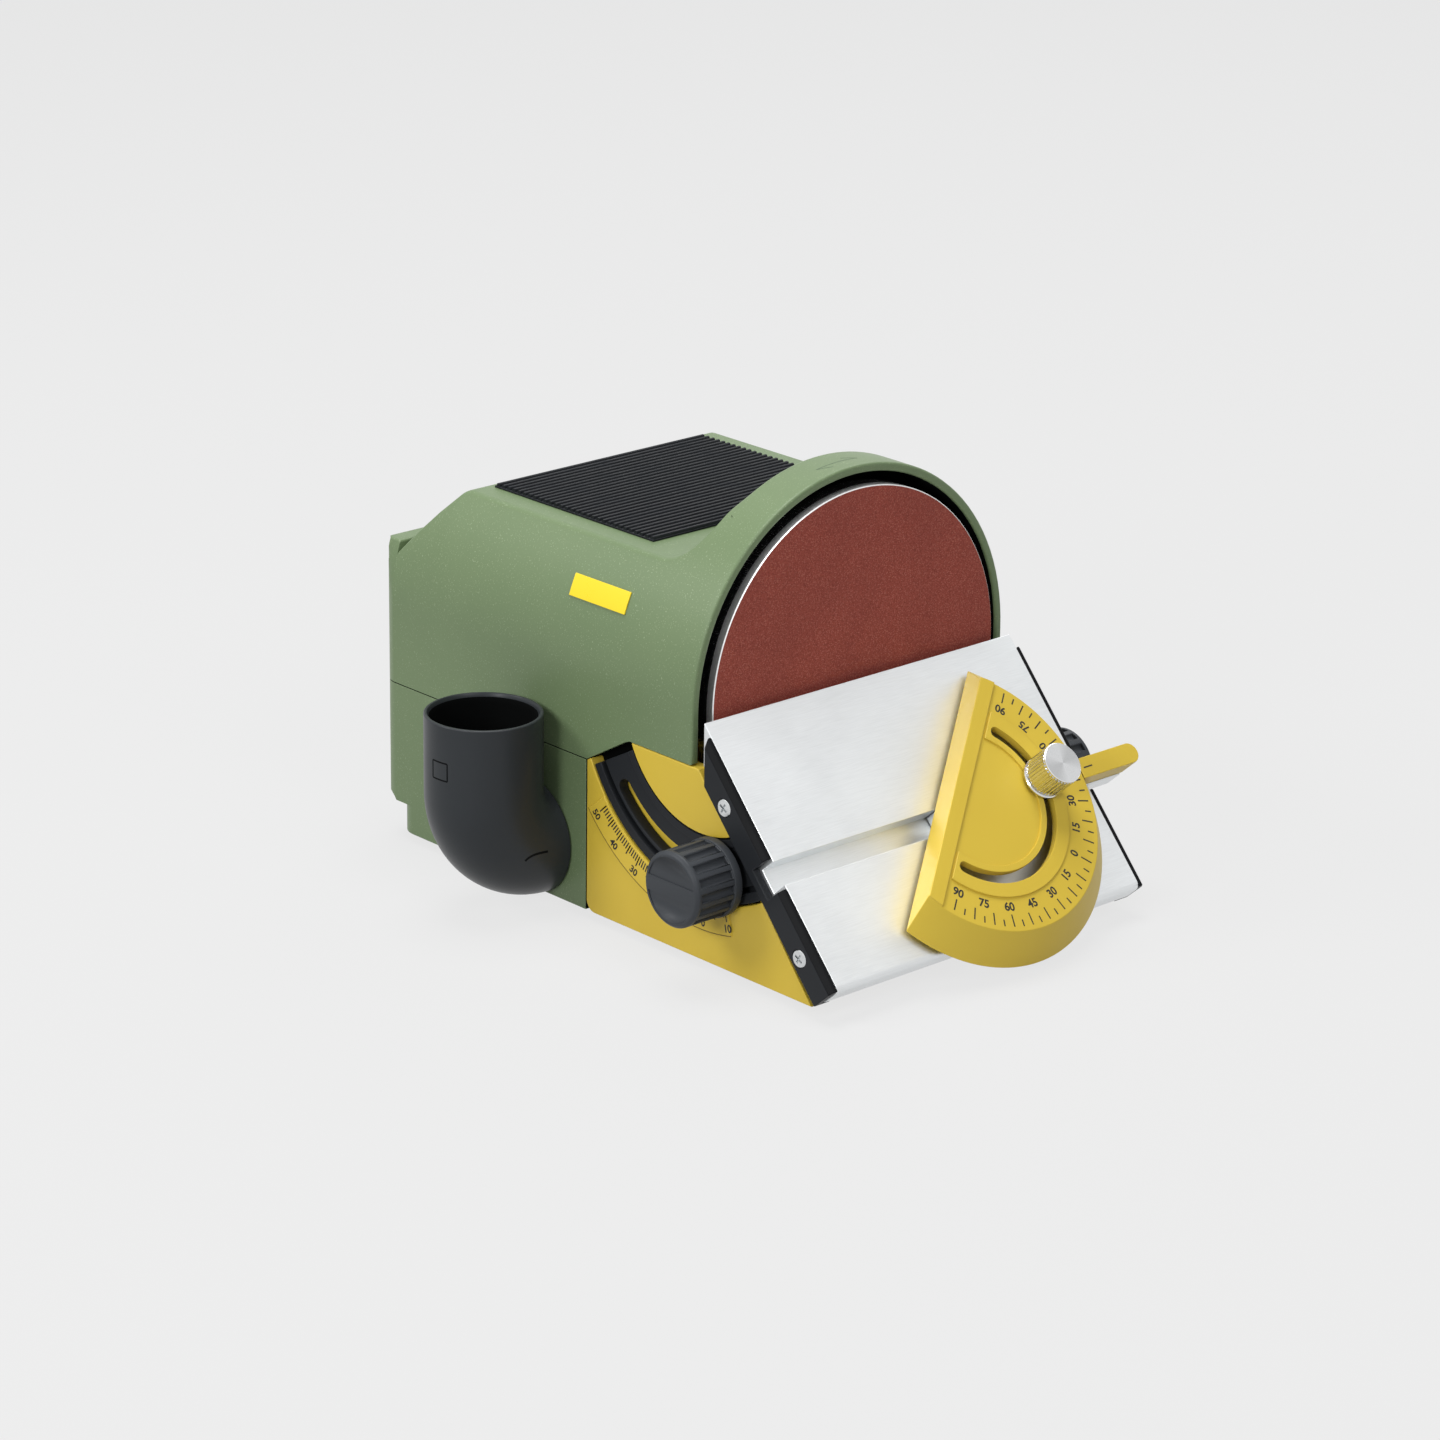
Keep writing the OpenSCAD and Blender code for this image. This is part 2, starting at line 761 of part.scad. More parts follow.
module base_cavity(y0, y1) {
    intersection() {
        sweep_x(-chamber_x, chamber_x) polygon([[front_y(sky_h, wall), sky_h],
            [front_y(foot_h + wall, wall), foot_h + wall], [joint_y + over, foot_h + wall], [joint_y + over, sky_h]]);
        box([-chamber_x, y0, foot_h], [chamber_x, y1, sky_h]);
    }
}

module scale_panel() {
    at_pivot() translate([body_r, 0, 0]) rotate([0, 90, 0]) linear_extrude(scale_t)
        intersection() {
            difference() {
                circle(scale_r_out);
                circle(track_r_out);
            }
            polygon([[0, 0], for (a = [scale_from, (scale_from + scale_to) / 2, scale_to])
                2 * scale_r_out * [sin(a), cos(a)]]);
        }
}

module front_base() color(yellow) difference() {
    union() {
        difference() {
            sweep_x(-body_r, body_r) base_outline();
            base_cavity(front_y(foot_h), chamber_back_y);
            base_cavity(shroud_back_y, joint_y + over);
            box([-chamber_x, front_y(foot_h), front_wall_h], [chamber_x, chamber_back_y, sky_h]);
            at_axis() bar_y(shroud_r_in, -disc_proud, chamber_back_y);
        }
        both_sides() scale_panel();
        both_sides() translate([0, stud_y, stud_h])
            bar_x(stud_boss_r, chamber_x - stud_boss_l, chamber_x + track_wall / 2);
        base_screw_spots() {
            bar_y(base_boss_r, joint_y - base_boss_l, joint_y);
            box([-wall / 2, joint_y - base_boss_l, foot_h - base_screw_h + wall / 2], [wall / 2, joint_y, 0]);
        }
    }
    at_pivot() both_sides() difference() {
        bar_x(track_r_out, track_x, body_r + scale_t + over);
        bar_x(track_r_in, track_x - over, body_r + scale_t + 2 * over);
    }
    both_sides() translate([0, stud_y, stud_h]) {
        bar_x(stud_r + run_fit, stud_x0 - over, body_r);
        rotate([0, 90, 0]) translate([0, 0, chamber_x - stud_boss_l - over])
            cylinder(r = nut_r, h = nut_x - chamber_x + stud_boss_l + over, $fn = 6);
    }
    translate([duct_x, 0, port_h]) bar_y(duct_r - duct_wall, chamber_back_y - over, shroud_back_y + over);
    plate_screw_spots() bar_y(screw_r, chamber_back_y - over, shroud_back_y + over);
    base_screw_spots() bar_y(screw_r, joint_y - base_boss_l + wall, joint_y + over);
    for (spot = foot_spots) translate([spot[0], spot[1], foot_h - over]) cylinder(r = foot_peg_r, h = wall + over);
}

module top_grip_pad() color(black) {
    box([-pad_half_w, pad_y0, flat_h], [pad_half_w, pad_y1, flat_h + pad_t]);
    for (y = [pad_y0:pad_pitch:pad_y1 - pad_pitch / 2])
        box([-pad_half_w, y, flat_h], [pad_half_w, y + pad_pitch / 2, flat_h + pad_t + pad_rib_h]);
}

module side_badge() color(yellow) at_axis() translate([0, badge_y0 + badge_l, 0]) rotate([90, 0, 0])
    rotate([0, 0, 180 - badge_low - badge_sweep]) rotate_extrude(angle = badge_sweep)
        translate([body_r, 0]) square([badge_t, badge_l]);

module rubber_feet() color(black) for (spot = foot_spots) translate([spot[0], spot[1], 0]) {
    cylinder(r = foot_d / 2, h = foot_h);
    cylinder(r = foot_peg_r, h = foot_h + wall);
}

module housing_screws() color(steel) for (spot = boss_spots)
    translate([spot[0], spot[1], split_h - seam - screw_grip]) {
        translate([0, 0, -screw_head_t]) cylinder(r = screw_head_r, h = screw_head_t);
        cylinder(r = screw_r, h = 2 * screw_grip);
    }

module base_screws() color(steel) base_screw_spots() {
    bar_y(screw_r, joint_y - base_boss_l + wall, shell_front_y + wall);
    bar_y(screw_head_r, shell_front_y + wall, shell_front_y + wall + screw_head_t);
}

module motor_plate() color(steel) difference() {
    intersection() {
        at_axis() bar_y(plate_r, plate_y, plate_y + plate_t);
        box([-plate_r, plate_y, axis_h - plate_down], [plate_r, plate_y + plate_t, axis_h + plate_up]);
    }
    at_axis() bar_y(plate_hole_r, plate_y - over, plate_y + plate_t + over);
    plate_screw_spots() bar_y(screw_r + screw_play, plate_y - over, plate_y + plate_t + over);
    motor_screw_spots() {
        bar_y(screw_r + screw_play, plate_y - over, plate_y + plate_t + over);
        bar_y(screw_head_r + screw_play, plate_y - over, plate_y + plate_t / 2);
    }
}

module motor_screw_spots() at_axis() for (i = [0:motor_screws_n - 1])
    rotate([0, i * 360 / motor_screws_n + 45, 0]) translate([motor_screw_pcd_r, 0, 0]) children();

module plate_screws() color(steel) plate_screw_spots() {
    bar_y(screw_r, chamber_back_y, plate_y + plate_t);
    bar_y(screw_head_r, plate_y + plate_t, plate_y + plate_t + screw_head_t);
}

module motor_screws() color(steel) motor_screw_spots() {
    bar_y(screw_head_r, plate_y, plate_y + plate_t / 2);
    bar_y(screw_r, plate_y + plate_t / 2, bell_y + bell_t - over);
}

module motor_front_bell() color(alloy) difference() {
    at_axis() bar_y(can_r, bell_y, bell_y + bell_t);
    at_axis() bar_y(front_bearing_r, bell_y + bell_lip, bell_y + bell_t + over);
    at_axis() bar_y(front_bearing_r - wall, bell_y - over, bell_y + bell_t);
    motor_screw_spots() bar_y(screw_r, bell_y - over, bell_y + bell_t - over);
}

module motor_can() color(steel) at_axis() difference() {
    bar_y(can_r, can_y, can_y + can_l);
    bar_y(can_r - can_wall, can_y - over, can_y + can_l + over);
}

module motor_magnets() color("#55585c") at_axis() translate([0, armature_y + armature_l, 0]) rotate([90, 0, 0])
    for (turn = [0, 180])
        rotate([0, 0, turn + 90 - magnet_angle / 2]) rotate_extrude(angle = magnet_angle)
            translate([armature_r + magnet_gap, 0])
                square([can_r - can_wall - armature_r - magnet_gap, armature_l]);

module motor_rear_bell() color(alloy) at_axis() difference() {
    bar_y(can_r, rear_bell_y, rear_bell_y + rear_bell_t);
    bar_y(rear_bearing_r, rear_bell_y - over, rear_bell_y + bearing_t);
    bar_y(rear_bearing_r - wall, rear_bell_y, rear_bell_y + rear_bell_t + over);
}

module ball_bearing(r, y0) at_axis() difference() {
    bar_y(r, y0, y0 + bearing_t);
    bar_y(shaft_r + run_fit, y0 - over, y0 + bearing_t + over);
}
module front_bearing() color(zinc) ball_bearing(front_bearing_r, bell_y + bell_lip);
module rear_bearing() color(zinc) ball_bearing(rear_bearing_r, rear_bell_y);

brush_mid_y = commutator_y + commutator_l / 2;
holder_gap = 2;
holder_x = commutator_r + holder_gap;
module brush_holders() color("#6b4a2a") at_axis() both_sides() difference() {
    half = brush_w / 2 + brush_play + holder_wall;
    box([holder_x, brush_mid_y - half, -half], [can_r - can_wall - over, brush_mid_y + half, half]);
    hole = brush_w / 2 + brush_play;
    box([holder_x - over, brush_mid_y - hole, -hole], [can_r - can_wall - 2 * over, brush_mid_y + hole, hole]);
}

module carbon_brushes() color(black) at_axis() both_sides()
    box([commutator_r + clear, brush_mid_y - brush_w / 2, -brush_w / 2],
        [commutator_r + clear + brush_l, brush_mid_y + brush_w / 2, brush_w / 2]);

// A lead that runs through corner points along the axes
module lead(points) for (i = [0:len(points) - 2]) {
    a = points[i];
    b = points[i + 1];
    translate(a) sphere(r = lead_r);
    translate(b) sphere(r = lead_r);
    d = b - a;
    translate(a) rotate([0, acos(d[2] / norm(d)), atan2(d[1], d[0])]) cylinder(r = lead_r, h = norm(d));
}

board_top = board_h + board_t;
lead_foot = board_top + lead_r;
motor_lead_y = rear_bell_y + rear_bell_t + lead_r + clear;
module motor_leads() color("#8a2020") for (x = motor_lead_x)
    lead([[x, motor_lead_y, lead_foot], [x, motor_lead_y, axis_h - can_r + motor_lead_rise]]);

module dust_duct() color(black) translate([0, 0, port_h]) difference() {
    duct_solid(duct_r, 0);
    duct_solid(duct_r - duct_wall, over);
}
module duct_solid(r, extra) {
    translate([duct_x, 0, 0]) bar_y(r, shroud_back_y - extra, port_y);
    translate([duct_x, port_y, 0]) sphere(r = r);
    translate([0, port_y, 0]) bar_x(r, duct_end_x - extra, duct_x);
}

module control_board() color(board_green) box([board_x0, board_y0, board_h], [board_x1, board_y1, board_top]);

module board_parts() color("#33405c") translate([0, 0, board_top]) {
    translate([capacitor_x, board_y1 - capacitor_in[1], 0]) cylinder(r = capacitor_r, h = capacitor_l);
    translate([board_x0 + sink_in[0], board_y1 - sink_in[1], 0]) cube(sink_size, center = false);
    translate([choke_x, board_y0 + choke_in[1], choke_wire_r]) rotate_extrude() translate([choke_r, 0]) circle(choke_wire_r);
}

// The rocker switch is drawn about its pivot, with x pointing out of the panel
module at_switch() translate([body_r, switch_y, control_h]) children();

module switch_body() color(black) at_switch() difference() {
    union() {
        box([0, -switch_flange[0] / 2, -switch_flange[1] / 2],
            [switch_flange[2], switch_flange[0] / 2, switch_flange[1] / 2]);
        box([-switch_depth, -switch_cut[0] / 2, -switch_cut[1] / 2], [0, switch_cut[0] / 2, switch_cut[1] / 2]);
    }
    box([-rocker_pocket, -rocker_size[0] / 2 - rocker_gap, -rocker_size[1] / 2 - rocker_gap],
        [switch_flange[2] + over, rocker_size[0] / 2 + rocker_gap, rocker_size[1] / 2 + rocker_gap]);
    bar_across(rocker_pin_r + run_fit, rocker_size[0] / 2 + rocker_gap + rocker_pin_l + rocker_pin_clear);
}
module bar_across(r, half) bar_y(r, -half, half);

module switch_rocker() color("#b02a24") at_switch() rotate([0, rocker_tilt, 0]) {
    translate([0, rocker_size[0] / 2, 0]) rotate([90, 0, 0]) linear_extrude(rocker_size[0])
        polygon([[-rocker_root, -rocker_size[1] / 2], [rocker_rise, -rocker_size[1] / 2], [rocker_dip, 0],
            [rocker_rise, rocker_size[1] / 2], [-rocker_root, rocker_size[1] / 2]]);
    bar_across(rocker_pin_r, rocker_size[0] / 2 + rocker_gap + rocker_pin_l);
}

module switch_leads() color("#7a5a30") for (level = [-1, 1])
    lead([[body_r - switch_depth - lead_r, switch_y + level * switch_lead_gap, control_h],
        [board_x1 - switch_lead_in, switch_y + level * switch_lead_gap, control_h],
        [board_x1 - switch_lead_in, switch_y + level * switch_lead_gap, lead_foot]]);

module at_dial() translate([0, dial_y, control_h]) children();

module dial_potentiometer() color("#8c8f93") at_dial() difference() {
    union() {
        bar_x(pot_r, body_r - wall - pot_t, body_r - wall);
        bar_x(bush_r, body_r - wall, body_r + bush_l);
    }
    bar_x(dial_shaft_r + run_fit, body_r - wall - pot_t + pot_end_t, body_r + bush_l + over);
}

module dial_nut() color(zinc) at_dial() difference() {
    translate([body_r, 0, 0]) rotate([0, 90, 0]) cylinder(r = dial_nut_r, h = dial_nut_t, $fn = 6);
    bar_x(bush_r, body_r - over, body_r + dial_nut_t + over);
}

module dial_shaft() color(steel) at_dial()
    bar_x(dial_shaft_r, body_r - wall - pot_t + pot_end_t + clear, dial_x + dial_l - wall);

module speed_dial() color(black) at_dial() difference() {
    union() {
        bar_x(dial_d / 2, dial_x, dial_x + dial_skirt_t);
        bar_x(dial_d / 2 - wall, dial_x, dial_x + dial_l);
    }
    bar_x(dial_shaft_r, dial_x - over, dial_x + dial_l - wall);
    for (i = [0:dial_grips - 1]) rotate([i * 360 / dial_grips, 0, 0]) translate([0, 0, dial_d / 2 - wall + dial_grip_r / 2])
        bar_x(dial_grip_r, dial_x + dial_skirt_t, dial_x + dial_l + over);
}

module cord_gland() color(black) translate([gland_x, 0, gland_h]) difference() {
    union() {
        bar_y(gland_r, rear_inner_y - gland_in, rear_y);
        bar_y(gland_flange_r, rear_y, rear_y + gland_flange_t);
        bar_y(gland_r, rear_y, rear_y + gland_nose_l);
    }
    bar_y(gland_bore_r, rear_inner_y - gland_in - over, rear_y + gland_nose_l + over);
}

module supply_leads() color("#4a6fa5") for (level = [-1, 1]) {
    y = board_y1 - supply_lead_in;
    x = gland_x + level * supply_lead_gap;
    lead([[x, rear_inner_y - gland_in + over, gland_h], [x, y, gland_h], [x, y, lead_foot]]);
}

module clamp_nuts() color(zinc) both_sides() translate([0, stud_y, stud_h]) difference() {
    translate([nut_x - nut_t, 0, 0]) rotate([0, 90, 0]) cylinder(r = nut_r - screw_play, h = nut_t, $fn = 6);
    bar_x(stud_r + run_fit, nut_x - nut_t - over, nut_x + over);
}

module sanding_disc() color(alloy) at_axis() difference() {
    union() {
        bar_y(disc_r, sheet_t, disc_back_y);
        bar_y(hub_d / 2, disc_back_y, hub_end_y);
    }
    bar_y(shaft_r, shaft_y0, hub_end_y + over);
    translate([0, set_screw_y, 0]) cylinder(r = set_screw_r, h = hub_d / 2 + over);
}

module abrasive_sheet() color(rust) at_axis() bar_y(disc_r, 0, sheet_t);

module motor_shaft() color(steel) at_axis() bar_y(shaft_r, shaft_y0, shaft_y1);

module on_shaft(r, y0, y1) at_axis() difference() {
    bar_y(r, y0, y1);
    bar_y(shaft_r, y0 - over, y1 + over);
}

module armature_core() color("#5b5f64") on_shaft(armature_r, armature_y, armature_y + armature_l);

module armature_windings() color(copper) {
    on_shaft(winding_r, armature_y - winding_t, armature_y);
    on_shaft(winding_r, armature_y + armature_l, commutator_y);
}

module commutator() color(copper) on_shaft(commutator_r, commutator_y, commutator_y + commutator_l);

module cooling_fan() color(black) difference() {
    at_axis() {
        bar_y(fan_hub_r, fan_y, fan_y + fan_t);
        bar_y(fan_r, fan_y + fan_t - fan_plate_t, fan_y + fan_t);
        for (i = [0:fan_blades - 1]) rotate([0, i * 360 / fan_blades, 0])
            box([fan_hub_r - over, fan_y, -fan_blade_t / 2], [fan_r - over, fan_y + fan_t, fan_blade_t / 2]);
    }
    at_axis() bar_y(shaft_r, fan_y - over, fan_y + fan_t + over);
}

module disc_set_screw() color(steel) at_axis() translate([0, set_screw_y, shaft_r])
    cylinder(r = set_screw_r, h = hub_d / 2 - shaft_r - screw_play);

// The inner end of the table is cut so that it stands upright at the drawn tilt
bevel_y = table_t * tan(table_tilt);
module bracket_screw_spots() for (s = bracket_screw_s)
    translate([0, -s, -bracket_screw_drop]) children();

module table_plate() color(alloy) at_table() difference() {
    sweep_x(-table_half, table_half) union() {
        polygon([[0, 0], [-table_l + edge_r, 0], [-table_l + edge_r, -table_t], [-bevel_y, -table_t]]);
        translate([-table_l, -table_t + edge_r]) square([2 * edge_r, table_t - 2 * edge_r]);
        for (z = [-edge_r, edge_r - table_t]) translate([-table_l + edge_r, z]) circle(edge_r);
    }
    box([-table_half - over, -groove_s - groove_w / 2, -groove_d], [table_half + over, -groove_s + groove_w / 2, over]);
    both_sides() bracket_screw_spots()
        bar_x(bracket_screw_r, table_half - bracket_screw_l, table_half + over);
}

// End strip with the tilt arc moulded on, drawn for the right side
module bracket() difference() {
    union() {
        at_table() sweep_x(strip_x0, strip_x1) polygon([[-strip_in, 0], [-table_l + strip_out, 0],
            [-table_l + strip_out, -lip_depth], [-strip_in - lip_depth * tan(table_tilt), -lip_depth]]);
        at_table() box([lip_x0, -table_l + strip_out, -lip_depth],
            [lip_x1, -strip_in - lip_depth * tan(table_tilt), -table_t]);
        at_pivot() difference() {
            intersection() {
                difference() {
                    bar_x(arc_r_out, arc_x0, arc_x1);
                    bar_x(arc_r_in, arc_x0 - over, arc_x1 + over);
                }
                sweep_x(arc_x0 - over, arc_x1 + over) polygon([[0, 0],
                    for (a = [arc_end, (2 * arc_end + arc_front) / 3, (arc_end + 2 * arc_front) / 3, arc_front])
                        2 * arc_r_out * [cos(a), -sin(a)]]);
            }
            rotate([table_tilt, 0, 0]) box([lip_x0 - over, -table_l, -table_t - strip_lip / 2],
                [lip_x1 + over, arc_r_out, table_l]);
            arc_channel();
            arc_slot();
        }
    }
    at_table() box([lip_x0 - over, -groove_s - notch_w / 2, -groove_d - over],
        [lip_x1 + over, -groove_s + notch_w / 2, over]);
    at_table() rotate([90, 0, 0]) linear_extrude(table_l + over) polygon([[strip_x0 + strip_flat, 0],
        [strip_x1, -strip_bevel], [strip_x1 + over, -strip_bevel], [strip_x1 + over, over], [strip_x0 + strip_flat, over]]);
    at_table() bracket_screw_spots() {
        bar_x(bracket_screw_r + screw_play, strip_x0 - over, strip_x1 + over);
        bar_x(bracket_head_r + screw_play, strip_x1 - bracket_head_t, strip_x1 + over);
    }
}

// A ring cut into the outer face of the arc
module arc_groove(r_in, r_out, depth) difference() {
    bar_x(r_out, arc_x1 - depth, arc_x1 + over);
    bar_x(r_in, arc_x1 - depth - over, arc_x1 + 2 * over);
}

// Deep channel near the rim of the arc, and the shallow bed between it and the inner bead
module arc_channel() {
    arc_groove(arc_channel_r - arc_channel_w / 2, arc_channel_r + arc_channel_w / 2, arc_channel_d);
    arc_groove(arc_r_in + arc_bead_w, arc_channel_r, arc_recess_d);
}

// Curved slot that the clamp stud runs in
module arc_slot() {
    intersection() {
        difference() {
            bar_x(slot_r + slot_w / 2, arc_x0 - over, arc_x1 + over);
            bar_x(slot_r - slot_w / 2, arc_x0 - 2 * over, arc_x1 + 2 * over);
        }
        sweep_x(arc_x0 - over, arc_x1 + over) polygon([[0, 0],
            for (a = [slot_end, (slot_end + slot_start) / 2, slot_start]) 2 * slot_r * [cos(a), -sin(a)]]);
    }
    for (a = [slot_end, slot_start])
        translate([0, slot_r * cos(a), -slot_r * sin(a)]) bar_x(slot_w / 2, arc_x0 - over, arc_x1 + over);
}

module table_bracket_right() color(black) bracket();
module table_bracket_left() color(black) mirror([1, 0, 0]) bracket();

module bracket_screws() color(zinc) at_table() both_sides() bracket_screw_spots() {
    bar_x(bracket_screw_r, table_half - bracket_screw_l + over, strip_x1 - bracket_head_t);
    bar_x(bracket_head_r, strip_x1 - bracket_head_t, strip_x1 + bracket_head_t / 4);
}

// Ribbed clamp knob with a plain face, drawn for the right side
module clamp_knob() translate([knob_x, stud_y, stud_h]) difference() {
    union() {
        bar_x(knob_root_r, 0, knob_root_l);
        bar_x(knob_flange_r, knob_root_l, knob_root_l + knob_flange_l);
        bar_x(knob_r, knob_root_l, knob_l - knob_chamfer);
        translate([knob_l - knob_chamfer, 0, 0]) rotate([0, 90, 0])
            cylinder(r1 = knob_r, r2 = knob_r - knob_chamfer, h = knob_chamfer);
    }
    for (i = [0:knob_ribs - 1]) rotate([i * 360 / knob_ribs, 0, 0]) translate([0, 0, knob_r])
        bar_x(knob_groove_r, knob_root_l + knob_flange_l + knob_flange_rise, knob_l - knob_face_t);
    bar_x(stud_r, -over, stud_grip);
}
module clamp_stud() translate([0, stud_y, stud_h]) bar_x(stud_r, stud_x0, knob_x + stud_grip);

module clamp_knob_right() color(black) clamp_knob();
module clamp_knob_left() color(black) mirror([1, 0, 0]) clamp_knob();
module clamp_stud_right() color(zinc) clamp_stud();
module clamp_stud_left() color(zinc) mirror([1, 0, 0]) clamp_stud();

// Elbow: spigot in the side of the shell, a quarter bend and an upright pipe
module quarter_bend(r, turn) translate([elbow_x, port_y, port_h + elbow_bend]) rotate([90, 0, 0])
    rotate([0, 0, 180]) rotate_extrude(angle = turn) translate([elbow_bend, 0]) circle(r);

module dust_elbow() color(black) difference() {
    union() {
        quarter_bend(elbow_r, 90);
        translate([elbow_vertical_x, port_y, elbow_straight_h]) cylinder(r = elbow_r, h = mouth_h - elbow_straight_h);
        translate([0, port_y, port_h]) bar_x(spigot_r, elbow_x - over, elbow_x + clear + spigot_l);
    }
    quarter_bend(bore_r, 90 - shoulder_angle);
    translate([elbow_vertical_x, port_y, elbow_straight_h]) cylinder(r = bore_r, h = mouth_h - elbow_straight_h + over);
    translate([0, port_y, port_h]) bar_x(spigot_bore_r, elbow_x - shoulder_cut, elbow_x + clear + spigot_l + over);
}

module slide_rail() color(alloy) at_stop() difference() {
    box([-rail_tail, -rail_w / 2, -rail_t], [rail_l - rail_tail, rail_w / 2, rail_top]);
    translate([0, 0, -rail_t - over]) cylinder(r = pivot_r, h = rail_t + rail_top + 2 * over);
    for (x = bar_screw_x) translate([x, 0, -rail_t - over]) {
        cylinder(r = bar_screw_r, h = rail_t + rail_top + 2 * over);
        cylinder(r = bar_screw_head_r, h = bar_screw_head_t + over);
    }
    translate([thumb_x, 0, -rail_t - over])
        cylinder(r = thumb_stud_r + run_fit, h = rail_t + rail_top + 2 * over);
}

module prot_cone(extra) translate([0, 0, prot_lift])
    cylinder(r1 = prot_r_foot + extra, r2 = prot_r_top + extra, h = prot_h);

// Index bar on the rail, its inner end slanted along the protractor's skirt
module index_bar() color(yellow) at_stop() difference() {
    union() {
        box([prot_r_top, -stop_w / 2, rail_top], [stop_reach - stop_w / 2, stop_w / 2, pointer_h]);
        translate([stop_reach - stop_w / 2, 0, rail_top]) cylinder(r = stop_w / 2, h = pointer_h - rail_top);
    }
    prot_cone(cone_clear);
    cylinder(r = prot_r_foot + cone_clear, h = prot_lift + over / 2);
    for (x = bar_screw_x) translate([x, 0, rail_top - over]) cylinder(r = bar_screw_r, h = bar_screw_grip + over);
}

module index_bar_screws() color(zinc) at_stop() for (x = bar_screw_x) translate([x, 0, -rail_t]) {
    cylinder(r = bar_screw_head_r, h = bar_screw_head_t);
    cylinder(r = bar_screw_r, h = rail_t + rail_top + bar_screw_grip);
}

// Pin in the rail that the protractor turns on
module protractor_pivot() color(zinc) at_stop() translate([0, 0, -rail_t])
    cylinder(r = pivot_r, h = rail_t + pivot_top);

// The protractor is drawn with its zero mark along x and its straight face at the back of that
module prot_half(extra) box([-prot_face + extra, -2 * prot_r_foot, 0],
    [2 * prot_r_foot, 2 * prot_r_foot, 2 * prot_scale]);

module prot_slot() {
    intersection() {
        difference() {
            cylinder(r = prot_slot_r + prot_slot_w / 2, h = 2 * prot_scale);
            translate([0, 0, -over]) cylinder(r = prot_slot_r - prot_slot_w / 2, h = 2 * prot_scale + 2 * over);
        }
        box([0, -prot_r_foot, 0], [prot_r_foot, prot_r_foot, 2 * prot_scale]);
    }
    for (side = [-1, 1]) translate([0, side * prot_slot_r, 0]) cylinder(r = prot_slot_w / 2, h = 2 * prot_scale);
}

module protractor() color(yellow) at_stop() rotate([0, 0, -stop_angle]) difference() {
    union() {
        difference() {
            intersection() {
                prot_cone(0);
                prot_half(0);
            }
            intersection() {
                translate([0, 0, -prot_plate]) prot_cone(-prot_wall);
                prot_half(prot_wall);
            }
        }
        intersection() {
            translate([0, 0, prot_scale - prot_plate / 2]) cylinder(r = prot_r_top, h = prot_plate / 2 + prot_ridge_h);
            box([-prot_face, -prot_r_top, 0], [prot_ridge_w - prot_face, prot_r_top, 2 * prot_scale]);
        }
        intersection() {
            translate([0, 0, prot_scale - prot_plate / 2]) difference() {
                cylinder(r = prot_ring_out, h = prot_plate / 2 + prot_ring_h);
                translate([0, 0, -over]) cylinder(r = prot_ring_in, h = prot_plate + prot_ring_h + over);
            }
            prot_half(prot_band_in);
        }
        translate([0, 0, prot_lift]) cylinder(r = prot_hub_r, h = prot_h - prot_plate / 2);
    }
    prot_slot();
    cylinder(r = pivot_r + run_fit, h = pivot_top + clear);
}

module stop_knob() color(alloy) at_stop() translate([thumb_x, 0, thumb_base]) difference() {
    union() {
        cylinder(r = thumb_flange_r, h = thumb_flange_t);
        translate([0, 0, thumb_flange_t]) cylinder(r = thumb_d / 2, h = thumb_h - thumb_flange_t - thumb_chamfer);
        translate([0, 0, thumb_h - thumb_chamfer])
            cylinder(r1 = thumb_d / 2, r2 = thumb_d / 2 - thumb_chamfer, h = thumb_chamfer);
    }
    for (i = [0:knurls - 1]) rotate([0, 0, i * 360 / knurls]) translate([thumb_d / 2, 0, thumb_flange_t - over])
        cylinder(r = knurl_r, h = thumb_h + over);
    translate([0, 0, -over]) cylinder(r = thumb_stud_r, h = thumb_stud_l + over);
}

module stop_stud() color(steel) at_stop() translate([thumb_x, 0, -rail_t])
    cylinder(r = thumb_stud_r, h = rail_t + thumb_base + thumb_stud_l);

upper_housing();
lower_housing();
front_base();
top_grip_pad();
side_badge();
rubber_feet();
housing_screws();
base_screws();
motor_plate();
plate_screws();
motor_screws();
motor_front_bell();
motor_can();
motor_magnets();
motor_rear_bell();
front_bearing();
rear_bearing();
brush_holders();
carbon_brushes();
motor_leads();
dust_duct();
control_board();
board_parts();
switch_body();
switch_leads();
dial_potentiometer();
dial_nut();
cord_gland();
supply_leads();
clamp_nuts();
sanding_disc();
abrasive_sheet();
motor_shaft();
armature_core();
armature_windings();
commutator();
cooling_fan();
disc_set_screw();
table_plate();
table_bracket_left();
table_bracket_right();
bracket_screws();
clamp_knob_left();
clamp_stud_left();
clamp_knob_right();
clamp_stud_right();
dust_elbow();
slide_rail();
index_bar();
index_bar_screws();
protractor_pivot();
protractor();
stop_knob();
stop_stud();
switch_rocker();
speed_dial();
dial_shaft();
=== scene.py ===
"""Benchtop disc sander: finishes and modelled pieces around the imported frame."""
import logging
import math
from dataclasses import dataclass
from enum import Enum
from typing import Any, Callable, ClassVar, Iterable, Sequence

import bmesh
import bpy
from mathutils import Matrix, Vector
from mathutils.bvhtree import BVHTree


